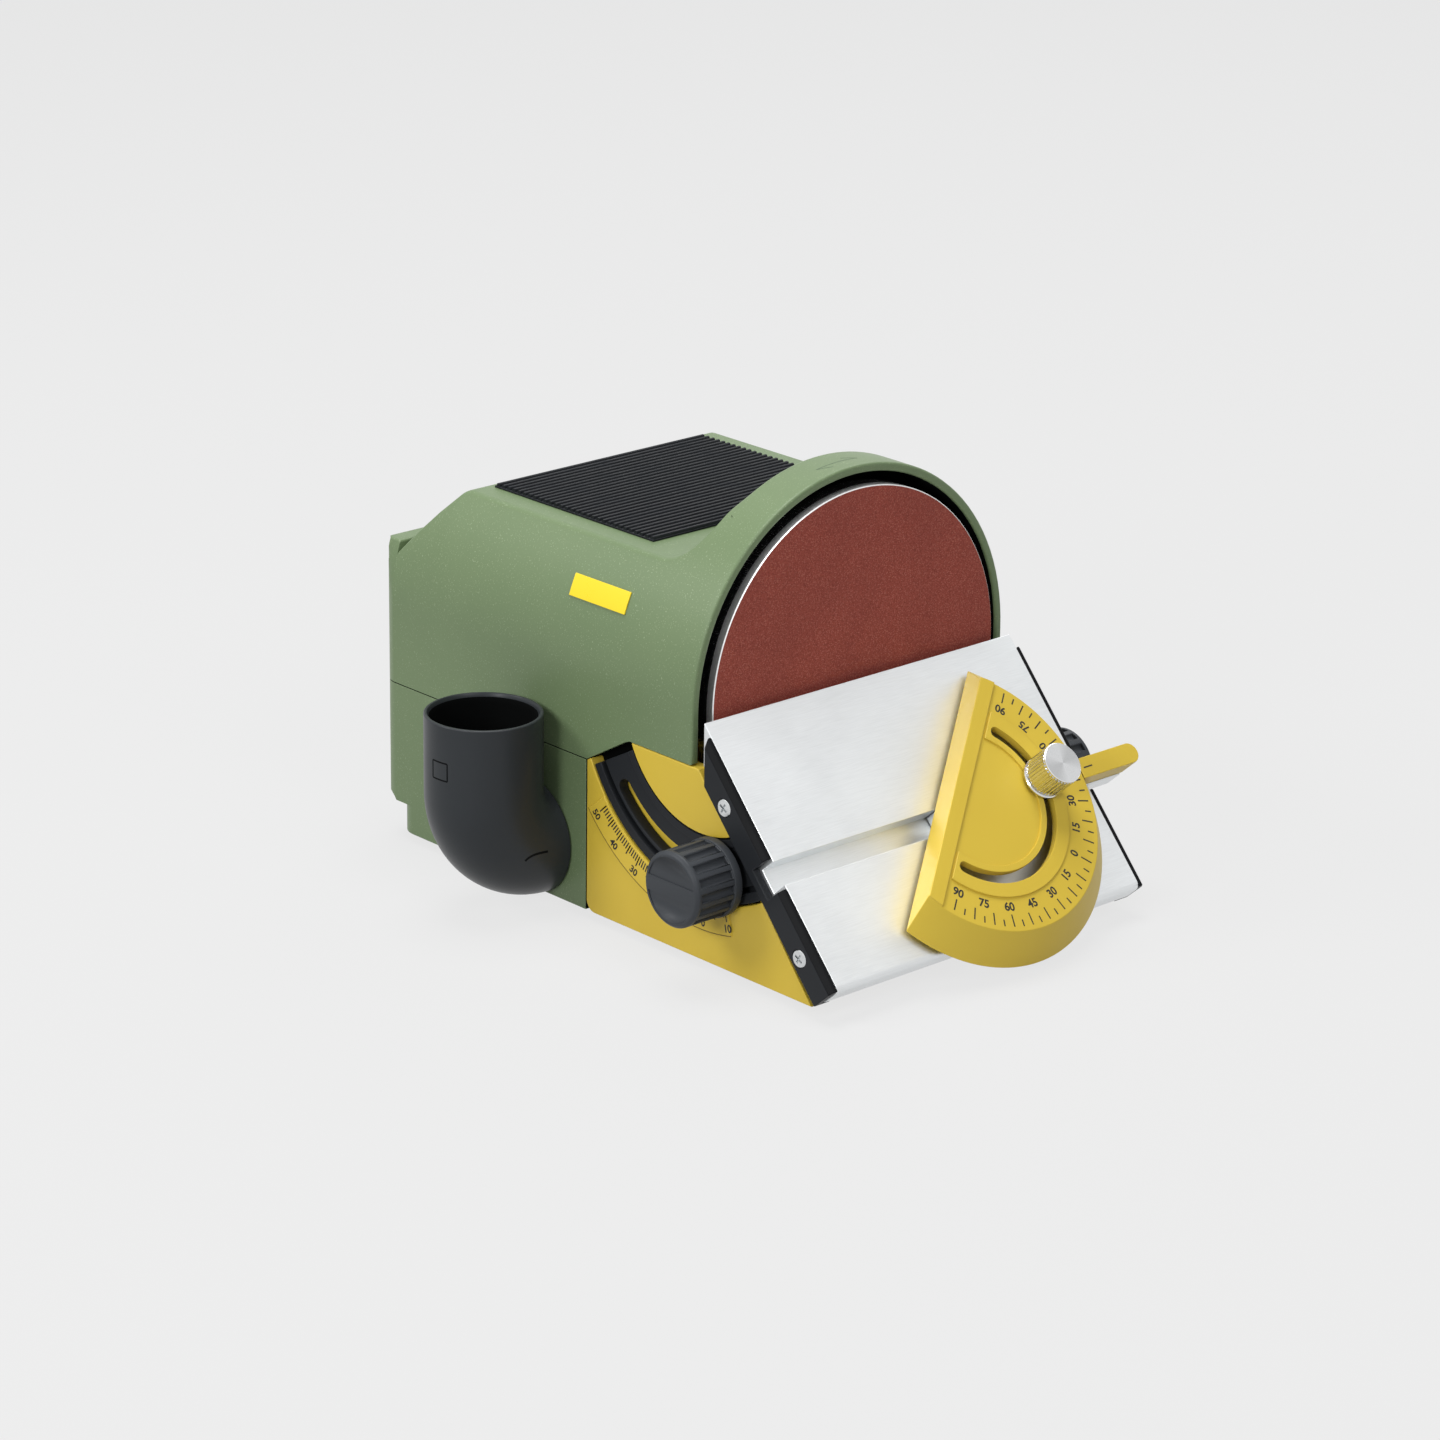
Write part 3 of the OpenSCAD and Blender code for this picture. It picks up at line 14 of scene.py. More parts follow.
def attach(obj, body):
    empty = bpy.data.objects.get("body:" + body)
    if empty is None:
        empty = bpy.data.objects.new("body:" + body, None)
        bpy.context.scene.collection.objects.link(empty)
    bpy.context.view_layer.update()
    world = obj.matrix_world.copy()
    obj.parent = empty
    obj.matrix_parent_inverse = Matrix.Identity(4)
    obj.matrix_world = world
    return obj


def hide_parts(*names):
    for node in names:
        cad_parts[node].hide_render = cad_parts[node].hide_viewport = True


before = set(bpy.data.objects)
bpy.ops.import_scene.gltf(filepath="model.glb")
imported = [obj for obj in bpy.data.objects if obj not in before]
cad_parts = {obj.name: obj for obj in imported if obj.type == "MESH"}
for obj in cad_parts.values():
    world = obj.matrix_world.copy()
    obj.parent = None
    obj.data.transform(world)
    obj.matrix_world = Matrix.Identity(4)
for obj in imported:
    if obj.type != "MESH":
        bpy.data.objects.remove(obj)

LOG = logging.getLogger("disc_sander")
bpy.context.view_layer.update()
MM = 0.001
SMOOTH_ANGLE = math.radians(32)
ROUNDED_ANGLE = math.radians(35)
FLAT_ANGLE = math.radians(0.4)
FIGURE_SCALE = 1.38
FIGURE_WEIGHT = 0.035
NUMBER_RISE = 0.05
Point = tuple[float, float]
Colour = tuple[float, float, float]
Piece = bpy.types.Object


class Body(str, Enum):
    """The moving bodies of the machine."""

    HOUSING = "housing"
    ROTOR = "disc_rotor"
    TABLE = "table"
    CLAMP_LEFT = "clamp_left"
    CLAMP_RIGHT = "clamp_right"
    ELBOW = "elbow"
    SLIDE = "stop_slide"
    PROTRACTOR = "protractor"
    STOP_KNOB = "stop_knob"
    ROCKER = "rocker"
    DIAL = "dial"


class Slot(str, Enum):
    """The record's material slots, handed along with new pieces but not set on them."""

    GREEN = "green_plastic"
    YELLOW = "yellow_plastic"
    BLACK = "black_plastic"
    RUBBER = "black_rubber"
    ALUMINIUM = "brushed_aluminium"
    ABRASIVE = "abrasive"
    ZINC = "zinc"
    RED = "red_plastic"


def polar(radius: float, degrees: float) -> Point:
    """A point at a distance and an angle."""
    return radius * math.cos(math.radians(degrees)), radius * math.sin(math.radians(degrees))


def srgb(red: int, green: int, blue: int) -> Colour:
    """Turns a colour on the 0 to 255 screen scale into the linear values that Blender uses."""
    shares = (channel / 255 for channel in (red, green, blue))
    return tuple(share / 12.92 if share <= 0.04045 else ((share + 0.055) / 1.055) ** 2.4 for share in shares)


# Shader kit


class Value:
    """A shader socket that takes part in Python expressions."""

    def __init__(self, graph: "Graph", socket: bpy.types.NodeSocket) -> None:
        """Wraps an output socket of a graph."""
        self.graph = graph
        self.socket = socket

    def _math(self, operation: str, first: Any, second: Any) -> "Value":
        """Adds one Math node and gives its result."""
        node = self.graph.node("ShaderNodeMath", {"operation": operation}, {0: first, 1: second})
        return Value(self.graph, node.outputs[0])

    def __add__(self, other: Any) -> "Value":
        """Sum."""
        return self._math("ADD", self, other)

    __radd__ = __add__

    def __sub__(self, other: Any) -> "Value":
        """Difference."""
        return self._math("SUBTRACT", self, other)

    def __rsub__(self, other: Any) -> "Value":
        """Difference, the other way round."""
        return self._math("SUBTRACT", other, self)

    def __mul__(self, other: Any) -> "Value":
        """Product."""
        return self._math("MULTIPLY", self, other)

    __rmul__ = __mul__

    def above(self, limit: Any) -> "Value":
        """1 where the value is greater than the limit, otherwise 0."""
        return self._math("GREATER_THAN", self, limit)

    def sine(self) -> "Value":
        """Sine of the value."""
        return self._math("SINE", self, 0.0)

    def angle_over(self, other: Any) -> "Value":
        """Angle whose tangent is this value over the other."""
        return self._math("ARCTAN2", self, other)


class Tree:
    """A node tree whose nodes come with their settings, values and links."""

    def __init__(self, tree: bpy.types.NodeTree) -> None:
        """Takes a tree and empties it."""
        self.tree = tree
        tree.nodes.clear()

    def put(self, socket: bpy.types.NodeSocket, value: Any) -> None:
        """Links a socket or sets its own value."""
        if isinstance(value, Value):
            value = value.socket
        if isinstance(value, bpy.types.NodeSocket):
            self.tree.links.new(value, socket)
        elif isinstance(value, tuple) and socket.type == "RGBA":
            socket.default_value = (*value, 1.0)
        else:
            socket.default_value = value

    def node(self, kind: str, settings: dict[str, Any] | None = None,
             values: dict[Any, Any] | None = None) -> bpy.types.Node:
        """Adds a node.

        Args:
            kind: The node's type.
            settings: Properties, set before the sockets.
            values: Values or links of its inputs, by name or index.

        Returns:
            The node.
        """
        made = self.tree.nodes.new(kind)
        for key, setting in (settings or {}).items():
            setattr(made, key, setting)
        for key, value in (values or {}).items():
            self.put(made.inputs[key], value)
        return made


class Graph(Tree):
    """A material's node tree, written as expressions."""

    def __init__(self, name: str) -> None:
        """Starts an empty material with its shader and its output."""
        self.material = bpy.data.materials.new(name)
        self.material.use_nodes = True
        super().__init__(self.material.node_tree)
        self.shader = self.node("ShaderNodeBsdfPrincipled")
        self.output = self.node("ShaderNodeOutputMaterial", {}, {"Surface": self.shader.outputs[0]})
        self.place = self.node("ShaderNodeTexCoord").outputs["Object"]

    def noise(self, size_mm: float, detail: float = 2.0, stretch: Sequence[float] = (1, 1, 1)) -> Value:
        """Noise whose features are about size_mm across, drawn out along an axis by a small stretch."""
        mapped = self.node("ShaderNodeMapping", {}, {"Vector": self.place, "Scale": tuple(stretch)})
        made = self.node("ShaderNodeTexNoise", {}, {
            "Vector": mapped.outputs[0], "Scale": 1 / (size_mm * MM), "Detail": detail})
        return Value(self, made.outputs[0])

    def cells(self, size_mm: float) -> bpy.types.Node:
        """Voronoi cells about size_mm across."""
        return self.node("ShaderNodeTexVoronoi", {}, {"Vector": self.place, "Scale": 1 / (size_mm * MM)})

    def ramp(self, value: Value, low: float, high: float) -> Value:
        """Maps low to 0 and high to 1, held within those ends."""
        made = self.node("ShaderNodeMapRange", {"clamp": True}, {0: value, 1: low, 2: high, 3: 0.0, 4: 1.0})
        return Value(self, made.outputs[0])

    def mix(self, share: Any, first: Any, second: Any) -> Value:
        """Mixes two colours by a share from 0 to 1."""
        made = self.node("ShaderNodeMix", {"data_type": "RGBA"}, {0: share, 6: first, 7: second})
        return Value(self, made.outputs[2])

    def bump(self, height: Value, depth_mm: float, strength: float = 1.0) -> Value:
        """Turns a height from 0 to 1 into a normal."""
        made = self.node("ShaderNodeBump", {}, {
            "Height": height, "Distance": depth_mm * MM, "Strength": strength})
        return Value(self, made.outputs[0])

    def shade(self, values: dict[str, Any]) -> bpy.types.Material:
        """Sets the shader's sockets and gives the finished material."""
        for key, value in values.items():
            self.put(self.shader.inputs[key], value)
        return self.material


# Finishes


@dataclass(frozen=True)
class Finish:
    """A surface finish that makes its material once."""

    name: str

    def material(self) -> bpy.types.Material:
        """The finish's material, made at its first use."""
        return bpy.data.materials.get(self.name) or self.draw(Graph(self.name))

    def draw(self, graph: Graph) -> bpy.types.Material:
        """Draws the finish into a new graph."""
        raise NotImplementedError


@dataclass(frozen=True)
class Moulding(Finish):
    """Grained injection-moulded plastic, with pale flecks where it has them."""

    colour: Colour
    shade_colour: Colour
    roughness: float = 0.42
    grain_mm: float = 0.5
    grain_depth_mm: float = 0.012
    fleck_colour: Colour | None = None
    fleck_mm: float = 0.5
    fleck_share: float = 0.09
    specular: float = 0.3

    def draw(self, graph: Graph) -> bpy.types.Material:
        """Tone drifts over the piece, flecks lie in it and a fine grain breaks the gloss."""
        drift = graph.ramp(graph.noise(38, 3), 0.3, 0.7)
        base = graph.mix(drift * 0.35, self.colour, self.shade_colour)
        grain = graph.noise(self.grain_mm, 3)
        if self.fleck_colour:
            fleck = graph.ramp(graph.noise(self.fleck_mm, 1), 0.64, 0.72) * graph.noise(6, 2)
            base = graph.mix(fleck * self.fleck_share * 6, base, self.fleck_colour)
        gloss = graph.noise(14, 3) * 0.1 + grain * 0.08 + (self.roughness - 0.09)
        return graph.shade({"Base Color": base, "Roughness": gloss, "Specular IOR Level": self.specular,
                            "Normal": graph.bump(grain, self.grain_depth_mm)})


@dataclass(frozen=True)
class Rubber(Finish):
    """Matt black rubber with a dusty bloom."""

    colour: Colour
    bloom: Colour

    def draw(self, graph: Graph) -> bpy.types.Material:
        """A faint bloom over a fine pebble."""
        pebble = graph.noise(0.6, 2)
        bloom = graph.ramp(graph.noise(9, 4), 0.45, 0.75)
        return graph.shade({"Base Color": graph.mix(bloom * 0.35, self.colour, self.bloom),
                            "Roughness": 0.52 + bloom * 0.16, "Normal": graph.bump(pebble, 0.02),
                            "Specular IOR Level": 0.14})


@dataclass(frozen=True)
class Brushed(Finish):
    """Brushed or drawn metal, its streaks along one axis."""

    colour: Colour
    roughness: float
    streak_mm: float = 0.35
    along: tuple[float, float, float] = (0.012, 1.0, 1.0)
    streak_depth_mm: float = 0.004
    contrast: float = 0.14

    def draw(self, graph: Graph) -> bpy.types.Material:
        """Streaks lift the tone, the gloss and the surface a little."""
        streak = graph.noise(self.streak_mm, 3, self.along)
        cloud = graph.noise(30, 3)
        dark = tuple(channel * (1 - self.contrast) for channel in self.colour)
        base = graph.mix(graph.ramp(streak * 0.6 + cloud * 0.4, 0.35, 0.65), dark, self.colour)
        return graph.shade({"Base Color": base, "Metallic": 1.0,
                            "Roughness": streak * 0.14 + cloud * 0.08 + (self.roughness - 0.11),
                            "Normal": graph.bump(streak, self.streak_depth_mm)})


@dataclass(frozen=True)
class Turned(Finish):
    """Metal turned about an axis, with fine rings and, where asked, broad sectors of painted sheen."""

    colour: Colour
    roughness: float
    centre_mm: tuple[float, float, float]
    turn_deg: tuple[float, float, float] = (0.0, 0.0, 0.0)
    ring_mm: float = 0.32
    sectors: float = 0.0

    def draw(self, graph: Graph) -> bpy.types.Material:
        """Rings follow the distance from the axis, which is z once turned, and broad darker sectors of painted sheen
        lie across them.
        """
        tilt = Matrix.Rotation(math.radians(self.turn_deg[0]), 4, "X")
        back = (Matrix.Translation(Vector(self.centre_mm) * MM) @ tilt).inverted()
        mapped = graph.node("ShaderNodeMapping", {}, {
            "Vector": graph.place, "Location": back.to_translation(), "Rotation": tuple(back.to_euler())})
        flat = graph.node("ShaderNodeVectorMath", {"operation": "MULTIPLY"}, {0: mapped.outputs[0], 1: (1, 1, 0)})
        length = graph.node("ShaderNodeVectorMath", {"operation": "LENGTH"}, {0: flat.outputs[0]})
        reach = Value(graph, length.outputs["Value"])
        ring = (reach * (2 * math.pi / (self.ring_mm * MM))).sine() * 0.5 + 0.5
        broken = ring * 0.5 + graph.noise(0.5, 3) * 0.5
        parts = graph.node("ShaderNodeSeparateXYZ", {}, {0: flat.outputs[0]})
        angle = Value(graph, parts.outputs[1]).angle_over(Value(graph, parts.outputs[0]))
        # Painted sheen: a fan of darker sectors round the axis stands in for the turned metal's reflections.
        painted_sheen = graph.ramp((angle * 2 + 0.9).sine(), -0.5, 0.9) * self.sectors
        dark = tuple(channel * 0.8 for channel in self.colour)
        sheen_dark = tuple(channel * 0.5 for channel in self.colour)
        base = graph.mix(painted_sheen, graph.mix(broken, dark, self.colour), sheen_dark)
        return graph.shade({"Base Color": base, "Metallic": 1.0, "Normal": graph.bump(broken, 0.006),
                            "Roughness": broken * 0.12 + (self.roughness - 0.06)})


@dataclass(frozen=True)
class Grit(Finish):
    """Coated abrasive: sharp grains in a coloured bond."""

    bond: Colour
    grain: Colour
    # shadow: painted shade down between the grains, also the colour of the worn patches.
    shadow: Colour
    grain_mm: float = 0.34

    def draw(self, graph: Graph) -> bpy.types.Material:
        """Each grain has its own tone and stands out of the bond, which takes painted shade between the grains."""
        cells = graph.cells(self.grain_mm)
        tone = graph.node("ShaderNodeSeparateColor", {}, {0: cells.outputs["Color"]})
        pick = Value(graph, tone.outputs[0])
        gap = Value(graph, cells.outputs["Distance"])
        base = graph.mix(pick.above(0.8) * 0.5, self.bond, self.grain)
        # Painted shade: darker towards the cells' edges, down between the raised grains.
        base = graph.mix(graph.ramp(gap, 0.35, 0.75) * 0.55, base, self.shadow)
        worn = graph.noise(24, 4)
        # Wear: broad darker patches, mixed towards the same colour as the painted shade.
        base = graph.mix(graph.ramp(worn, 0.4, 0.7) * 0.25, base, self.shadow)
        height = (1 - gap) * 0.6 + pick * 0.4
        return graph.shade({"Base Color": base, "Roughness": 0.62 + gap * 0.3, "Specular IOR Level": 0.35,
                            "Normal": graph.bump(height, 0.09, 0.8)})


@dataclass(frozen=True)
class Ink(Finish):
    """Printed or filled marks."""

    colour: Colour
    specular: float = 0.5

    def draw(self, graph: Graph) -> bpy.types.Material:
        """A matt print, a little thin in places."""
        thin = graph.noise(0.8, 3)
        pale = tuple(channel * 1.4 for channel in self.colour)
        return graph.shade({"Base Color": graph.mix(graph.ramp(thin, 0.5, 0.8) * 0.4, self.colour, pale),
                            "Roughness": 0.55 + thin * 0.1, "Specular IOR Level": self.specular})


GREEN = Moulding("sage_green_moulding", srgb(104, 122, 88), srgb(95, 114, 81), 0.4, fleck_colour=srgb(178, 190, 158))
YELLOW = Moulding("mustard_moulding", srgb(206, 178, 62), srgb(196, 166, 52), 0.4, 0.4, 0.008)
BADGE = Moulding("bare_badge_yellow", srgb(232, 205, 44), srgb(222, 192, 38), 0.3, 0.3, 0.004)
BLACK = Moulding("black_moulding", srgb(34, 36, 39), srgb(28, 30, 33), 0.44, 0.35, 0.014, specular=0.14)
# Painted shade: a darker copy of the bracket black for the strips' bevelled tops.
STRIP_TOP_PAINTED_SHADE = Moulding("black_strip_top_painted_shade", srgb(15, 16, 18), srgb(11, 12, 13), 0.5, 0.35, 0.014, specular=0.08)
ELBOW_BLACK = Moulding("black_elbow_moulding", srgb(45, 48, 51), srgb(37, 40, 43), 0.36, 0.3, 0.008, specular=0.2)
KNOB_BLACK = Moulding("black_knob_moulding", srgb(56, 59, 63), srgb(49, 52, 56), 0.46, 0.4, 0.012, specular=0.2)
# Painted shade: near black with almost no gloss, for the shade inside the shroud, behind the disc, in the seams,
# behind the arc tracks and in the elbow's bore.
PAINTED_SHADE_BLACK = Moulding("painted_shade_black", srgb(10, 11, 11), srgb(6, 7, 7), 0.8, specular=0.03)
RUBBER = Rubber("black_rubber_pad", srgb(26, 28, 31), srgb(38, 41, 45))
TABLE_ALLOY = Brushed("anodised_table_alloy", (0.82, 0.84, 0.85), 0.44, 0.22, (0.03, 1.0, 1.0), 0.002, 0.09)
RAIL_ALLOY = Brushed("drawn_rail_alloy", (0.72, 0.74, 0.75), 0.3)
DISC_ALLOY = Brushed("turned_disc_alloy", (0.78, 0.79, 0.8), 0.24, 0.3, (1.0, 0.05, 1.0))
STEEL = Brushed("machined_steel", (0.42, 0.43, 0.45), 0.34)
ZINC = Brushed("zinc_plate", (0.74, 0.76, 0.77), 0.26, 0.6, (1, 1, 1))
KNOB_ALLOY = Brushed("turned_knob_alloy", (0.82, 0.83, 0.84), 0.22, 0.4, (1, 1, 1))
CAST_ALLOY = Brushed("cast_alloy", (0.6, 0.61, 0.62), 0.46, 0.9, (1, 1, 1))
CUT_EDGE = Brushed("bright_disc_edge", (0.9, 0.9, 0.9), 0.4, 0.4, (1, 1, 1))
COPPER = Brushed("copper", (0.62, 0.26, 0.1), 0.36)
GRIT = Grit("rust_red_abrasive", srgb(149, 68, 55), srgb(186, 110, 94), srgb(104, 43, 37))
INK = Ink("black_print", srgb(18, 16, 12))
# Painted shade along the foot of the tilt-scale panel's step.
PANEL_STEP_PAINTED_SHADE = Ink("panel_step_painted_shade", srgb(112, 92, 26))
PALE_INK = Ink("white_print", srgb(222, 224, 222))
# Painted shade: near-black lines with little gloss along the elbow's moulded edges.
MOULD_EDGE_SHADE = Ink("moulded_edge_painted_shade", srgb(12, 13, 14), 0.04)
# Painted shade: darker green for the engraved arrow's grooves.
ENGRAVED_GROOVE_SHADE = Ink("engraved_groove_painted_shade", srgb(74, 92, 66))
RED = Moulding("red_rocker", srgb(170, 34, 28), srgb(150, 26, 22), 0.26, 0.4, 0.002)
BOARD = Moulding("circuit_board", srgb(34, 92, 58), srgb(28, 80, 50), 0.35, 0.6, 0.01)
CERAMIC = Moulding("board_components", srgb(48, 58, 80), srgb(38, 46, 66), 0.35)
MAGNET = Moulding("sintered_magnet", srgb(66, 68, 72), srgb(54, 56, 60), 0.5)
PHENOLIC = Moulding("brown_phenolic", srgb(96, 66, 40), srgb(84, 56, 34), 0.45)
CARBON = Moulding("pressed_carbon", srgb(30, 30, 31), srgb(24, 24, 25), 0.6)
LEADS = {"motor_leads": Moulding("red_lead", srgb(140, 30, 28), srgb(124, 24, 22), 0.4),
         "switch_leads": Moulding("brown_lead", srgb(112, 80, 46), srgb(98, 68, 38), 0.4),
         "supply_leads": Moulding("blue_lead", srgb(66, 104, 160), srgb(56, 92, 146), 0.4)}


# Mesh kit


def add_object(name: str, data: Any) -> Piece:
    """Adds an object to the scene."""
    made = bpy.data.objects.new(name, data)
    bpy.context.scene.collection.objects.link(made)
    return made


def in_metres(place: Matrix) -> Matrix:
    """A place in millimetres turned into one in metres."""
    return Matrix.Translation(place.translation * MM) @ place.to_3x3().to_4x4()


def bevel(mesh: bmesh.types.BMesh, edges: list[bmesh.types.BMEdge], width: float, segments: int) -> None:
    """Rounds edges of a mesh in its own unit."""
    bmesh.ops.bevel(mesh, geom=edges, offset=width, offset_type="OFFSET", segments=segments, profile=0.5,
                    affect="EDGES", clamp_overlap=False)


class Shape:
    """A mesh under construction, in millimetres."""

    def __init__(self) -> None:
        """Starts an empty shape."""
        self.mesh = bmesh.new()

    def grid(self, rows: Sequence[Sequence[Vector]], close_rows: bool = False, close_columns: bool = False) -> None:
        """Skins rows of points with quads.

        Args:
            rows: Rows of equal length.
            close_rows: Whether the last row joins the first.
            close_columns: Whether each row's last point joins its first.
        """
        verts = [[self.mesh.verts.new(point) for point in row] for row in rows]
        count, width = len(verts), len(verts[0])
        for i in range(count if close_rows else count - 1):
            for j in range(width if close_columns else width - 1):
                below, above = verts[i], verts[(i + 1) % count]
                k = (j + 1) % width
                self.mesh.faces.new((below[j], below[k], above[k], above[j]))

    def face(self, points: Sequence[Vector]) -> None:
        """Adds one flat face."""
        self.mesh.faces.new([self.mesh.verts.new(point) for point in points])

    def prism(self, outline: Sequence[Point], depth: float, place: Matrix = Matrix.Identity(4)) -> None:
        """Adds an outline in x and y, raised by depth along z, put in place by a matrix."""
        rows = [[place @ Vector((x, y, z)) for x, y in outline] for z in (0.0, depth)]
        self.grid(rows, close_columns=True)
        self.face(list(reversed(rows[0])))
        self.face(rows[1])

    def revolve(self, profile: Sequence[Point], place: Matrix, steps: int = 96) -> None:
        """Turns a profile of radius and height about z, closing ends that lie on the axis."""
        rows = []
        for radius, height in profile:
            ring = [polar(radius, 360 * i / steps) for i in range(steps)]
            rows.append([place @ Vector((x, y, height)) for x, y in ring])
        self.grid(rows, close_columns=True)

    def weld(self, reach: float = 0.0005) -> "Shape":
        """Merges doubles, drops faces without area and points all faces outwards."""
        bmesh.ops.remove_doubles(self.mesh, verts=self.mesh.verts, dist=reach)
        bmesh.ops.dissolve_degenerate(self.mesh, edges=self.mesh.edges, dist=reach)
        bmesh.ops.recalc_face_normals(self.mesh, faces=self.mesh.faces)
        return self

    def round_edges(self, width: float, segments: int = 2, keep: Callable[[Any], bool] | None = None) -> "Shape":
        """Rounds the sharp convex edges, and draws a point that strays back to the shape.

        Args:
            width: How far each rounding reaches from its edge.
            segments: Steps across the rounding.
            keep: Which of those edges to round, or all of them.

        Returns:
            The shape itself.
        """
        edges = [e for e in self.mesh.edges if len(e.link_faces) == 2 and e.calc_face_angle(0.0) > ROUNDED_ANGLE
                 and e.is_convex and (keep is None or keep(e))]
        before = BVHTree.FromBMesh(self.mesh)
        bevel(self.mesh, edges, width, segments)
        for vertex in self.mesh.verts:
            near, _, _, reach = before.find_nearest(vertex.co)
            if reach > width:
                vertex.co = near
        return self

    def piece(self, name: str, finish: Finish) -> Piece:
        """Turns the shape into a smooth-shaded object in metres."""
        data = bpy.data.meshes.new(name)
        self.mesh.to_mesh(data)
        self.mesh.free()
        data.transform(Matrix.Scale(MM, 4))
        data.materials.append(finish.material())
        return smooth(add_object(name, data))


def smooth(made: Piece, angle: float = SMOOTH_ANGLE) -> Piece:
    """Shades an object smooth, with its sharp edges kept."""
    made.data.shade_smooth()
    made.data.set_sharp_from_angle(angle=angle)
    return made


def settle(made: Piece) -> Piece:
    """Turns an object's modifiers into plain mesh."""
    bpy.context.view_layer.update()
    evaluated = made.evaluated_get(bpy.context.evaluated_depsgraph_get())
    data = bpy.data.meshes.new_from_object(evaluated)
    made.modifiers.clear()
    made.data = data
    return made


def even_normals(made: Piece) -> Piece:
    """Lets wide faces rule the shading next to their rounded edges."""
    made.modifiers.new("even", "WEIGHTED_NORMAL").keep_sharp = True
    return settle(made)


def copy_node(node: str) -> Shape:
    """A CAD node's mesh as a shape in millimetres, its triangles merged and its flats joined."""
    shape = Shape()
    shape.mesh.from_mesh(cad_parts[node].data)
    bmesh.ops.scale(shape.mesh, vec=(1 / MM,) * 3, verts=shape.mesh.verts)
    bmesh.ops.remove_doubles(shape.mesh, verts=shape.mesh.verts, dist=0.002)
    bmesh.ops.dissolve_limit(shape.mesh, angle_limit=FLAT_ANGLE, verts=shape.mesh.verts, edges=shape.mesh.edges)
    return shape


def soften(node: str, finish: Finish, body: Body, slot: Slot, width: float, segments: int = 2,
           keep: Callable[[Any], bool] | None = None) -> Piece:
    """Shows a CAD node by a copy with rounded edges.

    Args:
        node: The CAD node.
        finish: Its finish.
        body: The body it rides on.
        slot: The record's material slot; not used.
        width: How far the rounding reaches.
        segments: Steps across the rounding.
        keep: Which sharp edges to round, or all of them.

    Returns:
        The copy, which stands for the node.
    """
    shape = copy_node(node).round_edges(width, segments, keep)
    return fit(even_normals(shape.piece(f"{node}_rounded", finish)), body, slot, node)


def thicken(made: Piece, wall: float, offset: float, material_offset: int = 0) -> Piece:
    """Gives a sheet a wall, with the material after the sheet's own on its other side where asked."""
    solid = made.modifiers.new("wall", "SOLIDIFY")
    solid.thickness, solid.offset, solid.material_offset = wall * MM, offset, material_offset
    return settle(made)


def cut(made: Piece, cutter: Piece) -> Piece:
    """Cuts one object out of another and removes the cutter."""
    knife = made.modifiers.new("cut", "BOOLEAN")
    knife.object, knife.operation, knife.solver = cutter, "DIFFERENCE", "EXACT"
    settle(made)
    bpy.data.objects.remove(cutter)
    return made


def tint(made: Piece, finish: Finish, chosen: Callable[[Vector, Vector], bool]) -> Piece:
    """Gives some faces a second finish, picked by their centre in millimetres and their normal."""
    made.data.materials.append(finish.material())
    for face in made.data.polygons:
        if chosen(face.center / MM, face.normal):
            face.material_index = len(made.data.materials) - 1
    return made


def fit(made: Piece, body: Body, slot: Slot, *nodes: str) -> Piece:
    """Puts a finished piece on its body and hides the CAD nodes it stands for."""
    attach(made, body.value)
    if nodes:
        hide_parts(*nodes)
    LOG.info("%s rides on %s", made.name, body.value)
    return made


def paint(finish: Finish, *nodes: str) -> None:
    """Gives CAD nodes a finish."""
    for node in nodes:
        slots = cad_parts[node].data.materials
        slots.clear()
        slots.append(finish.material())


# Geometry Nodes kit


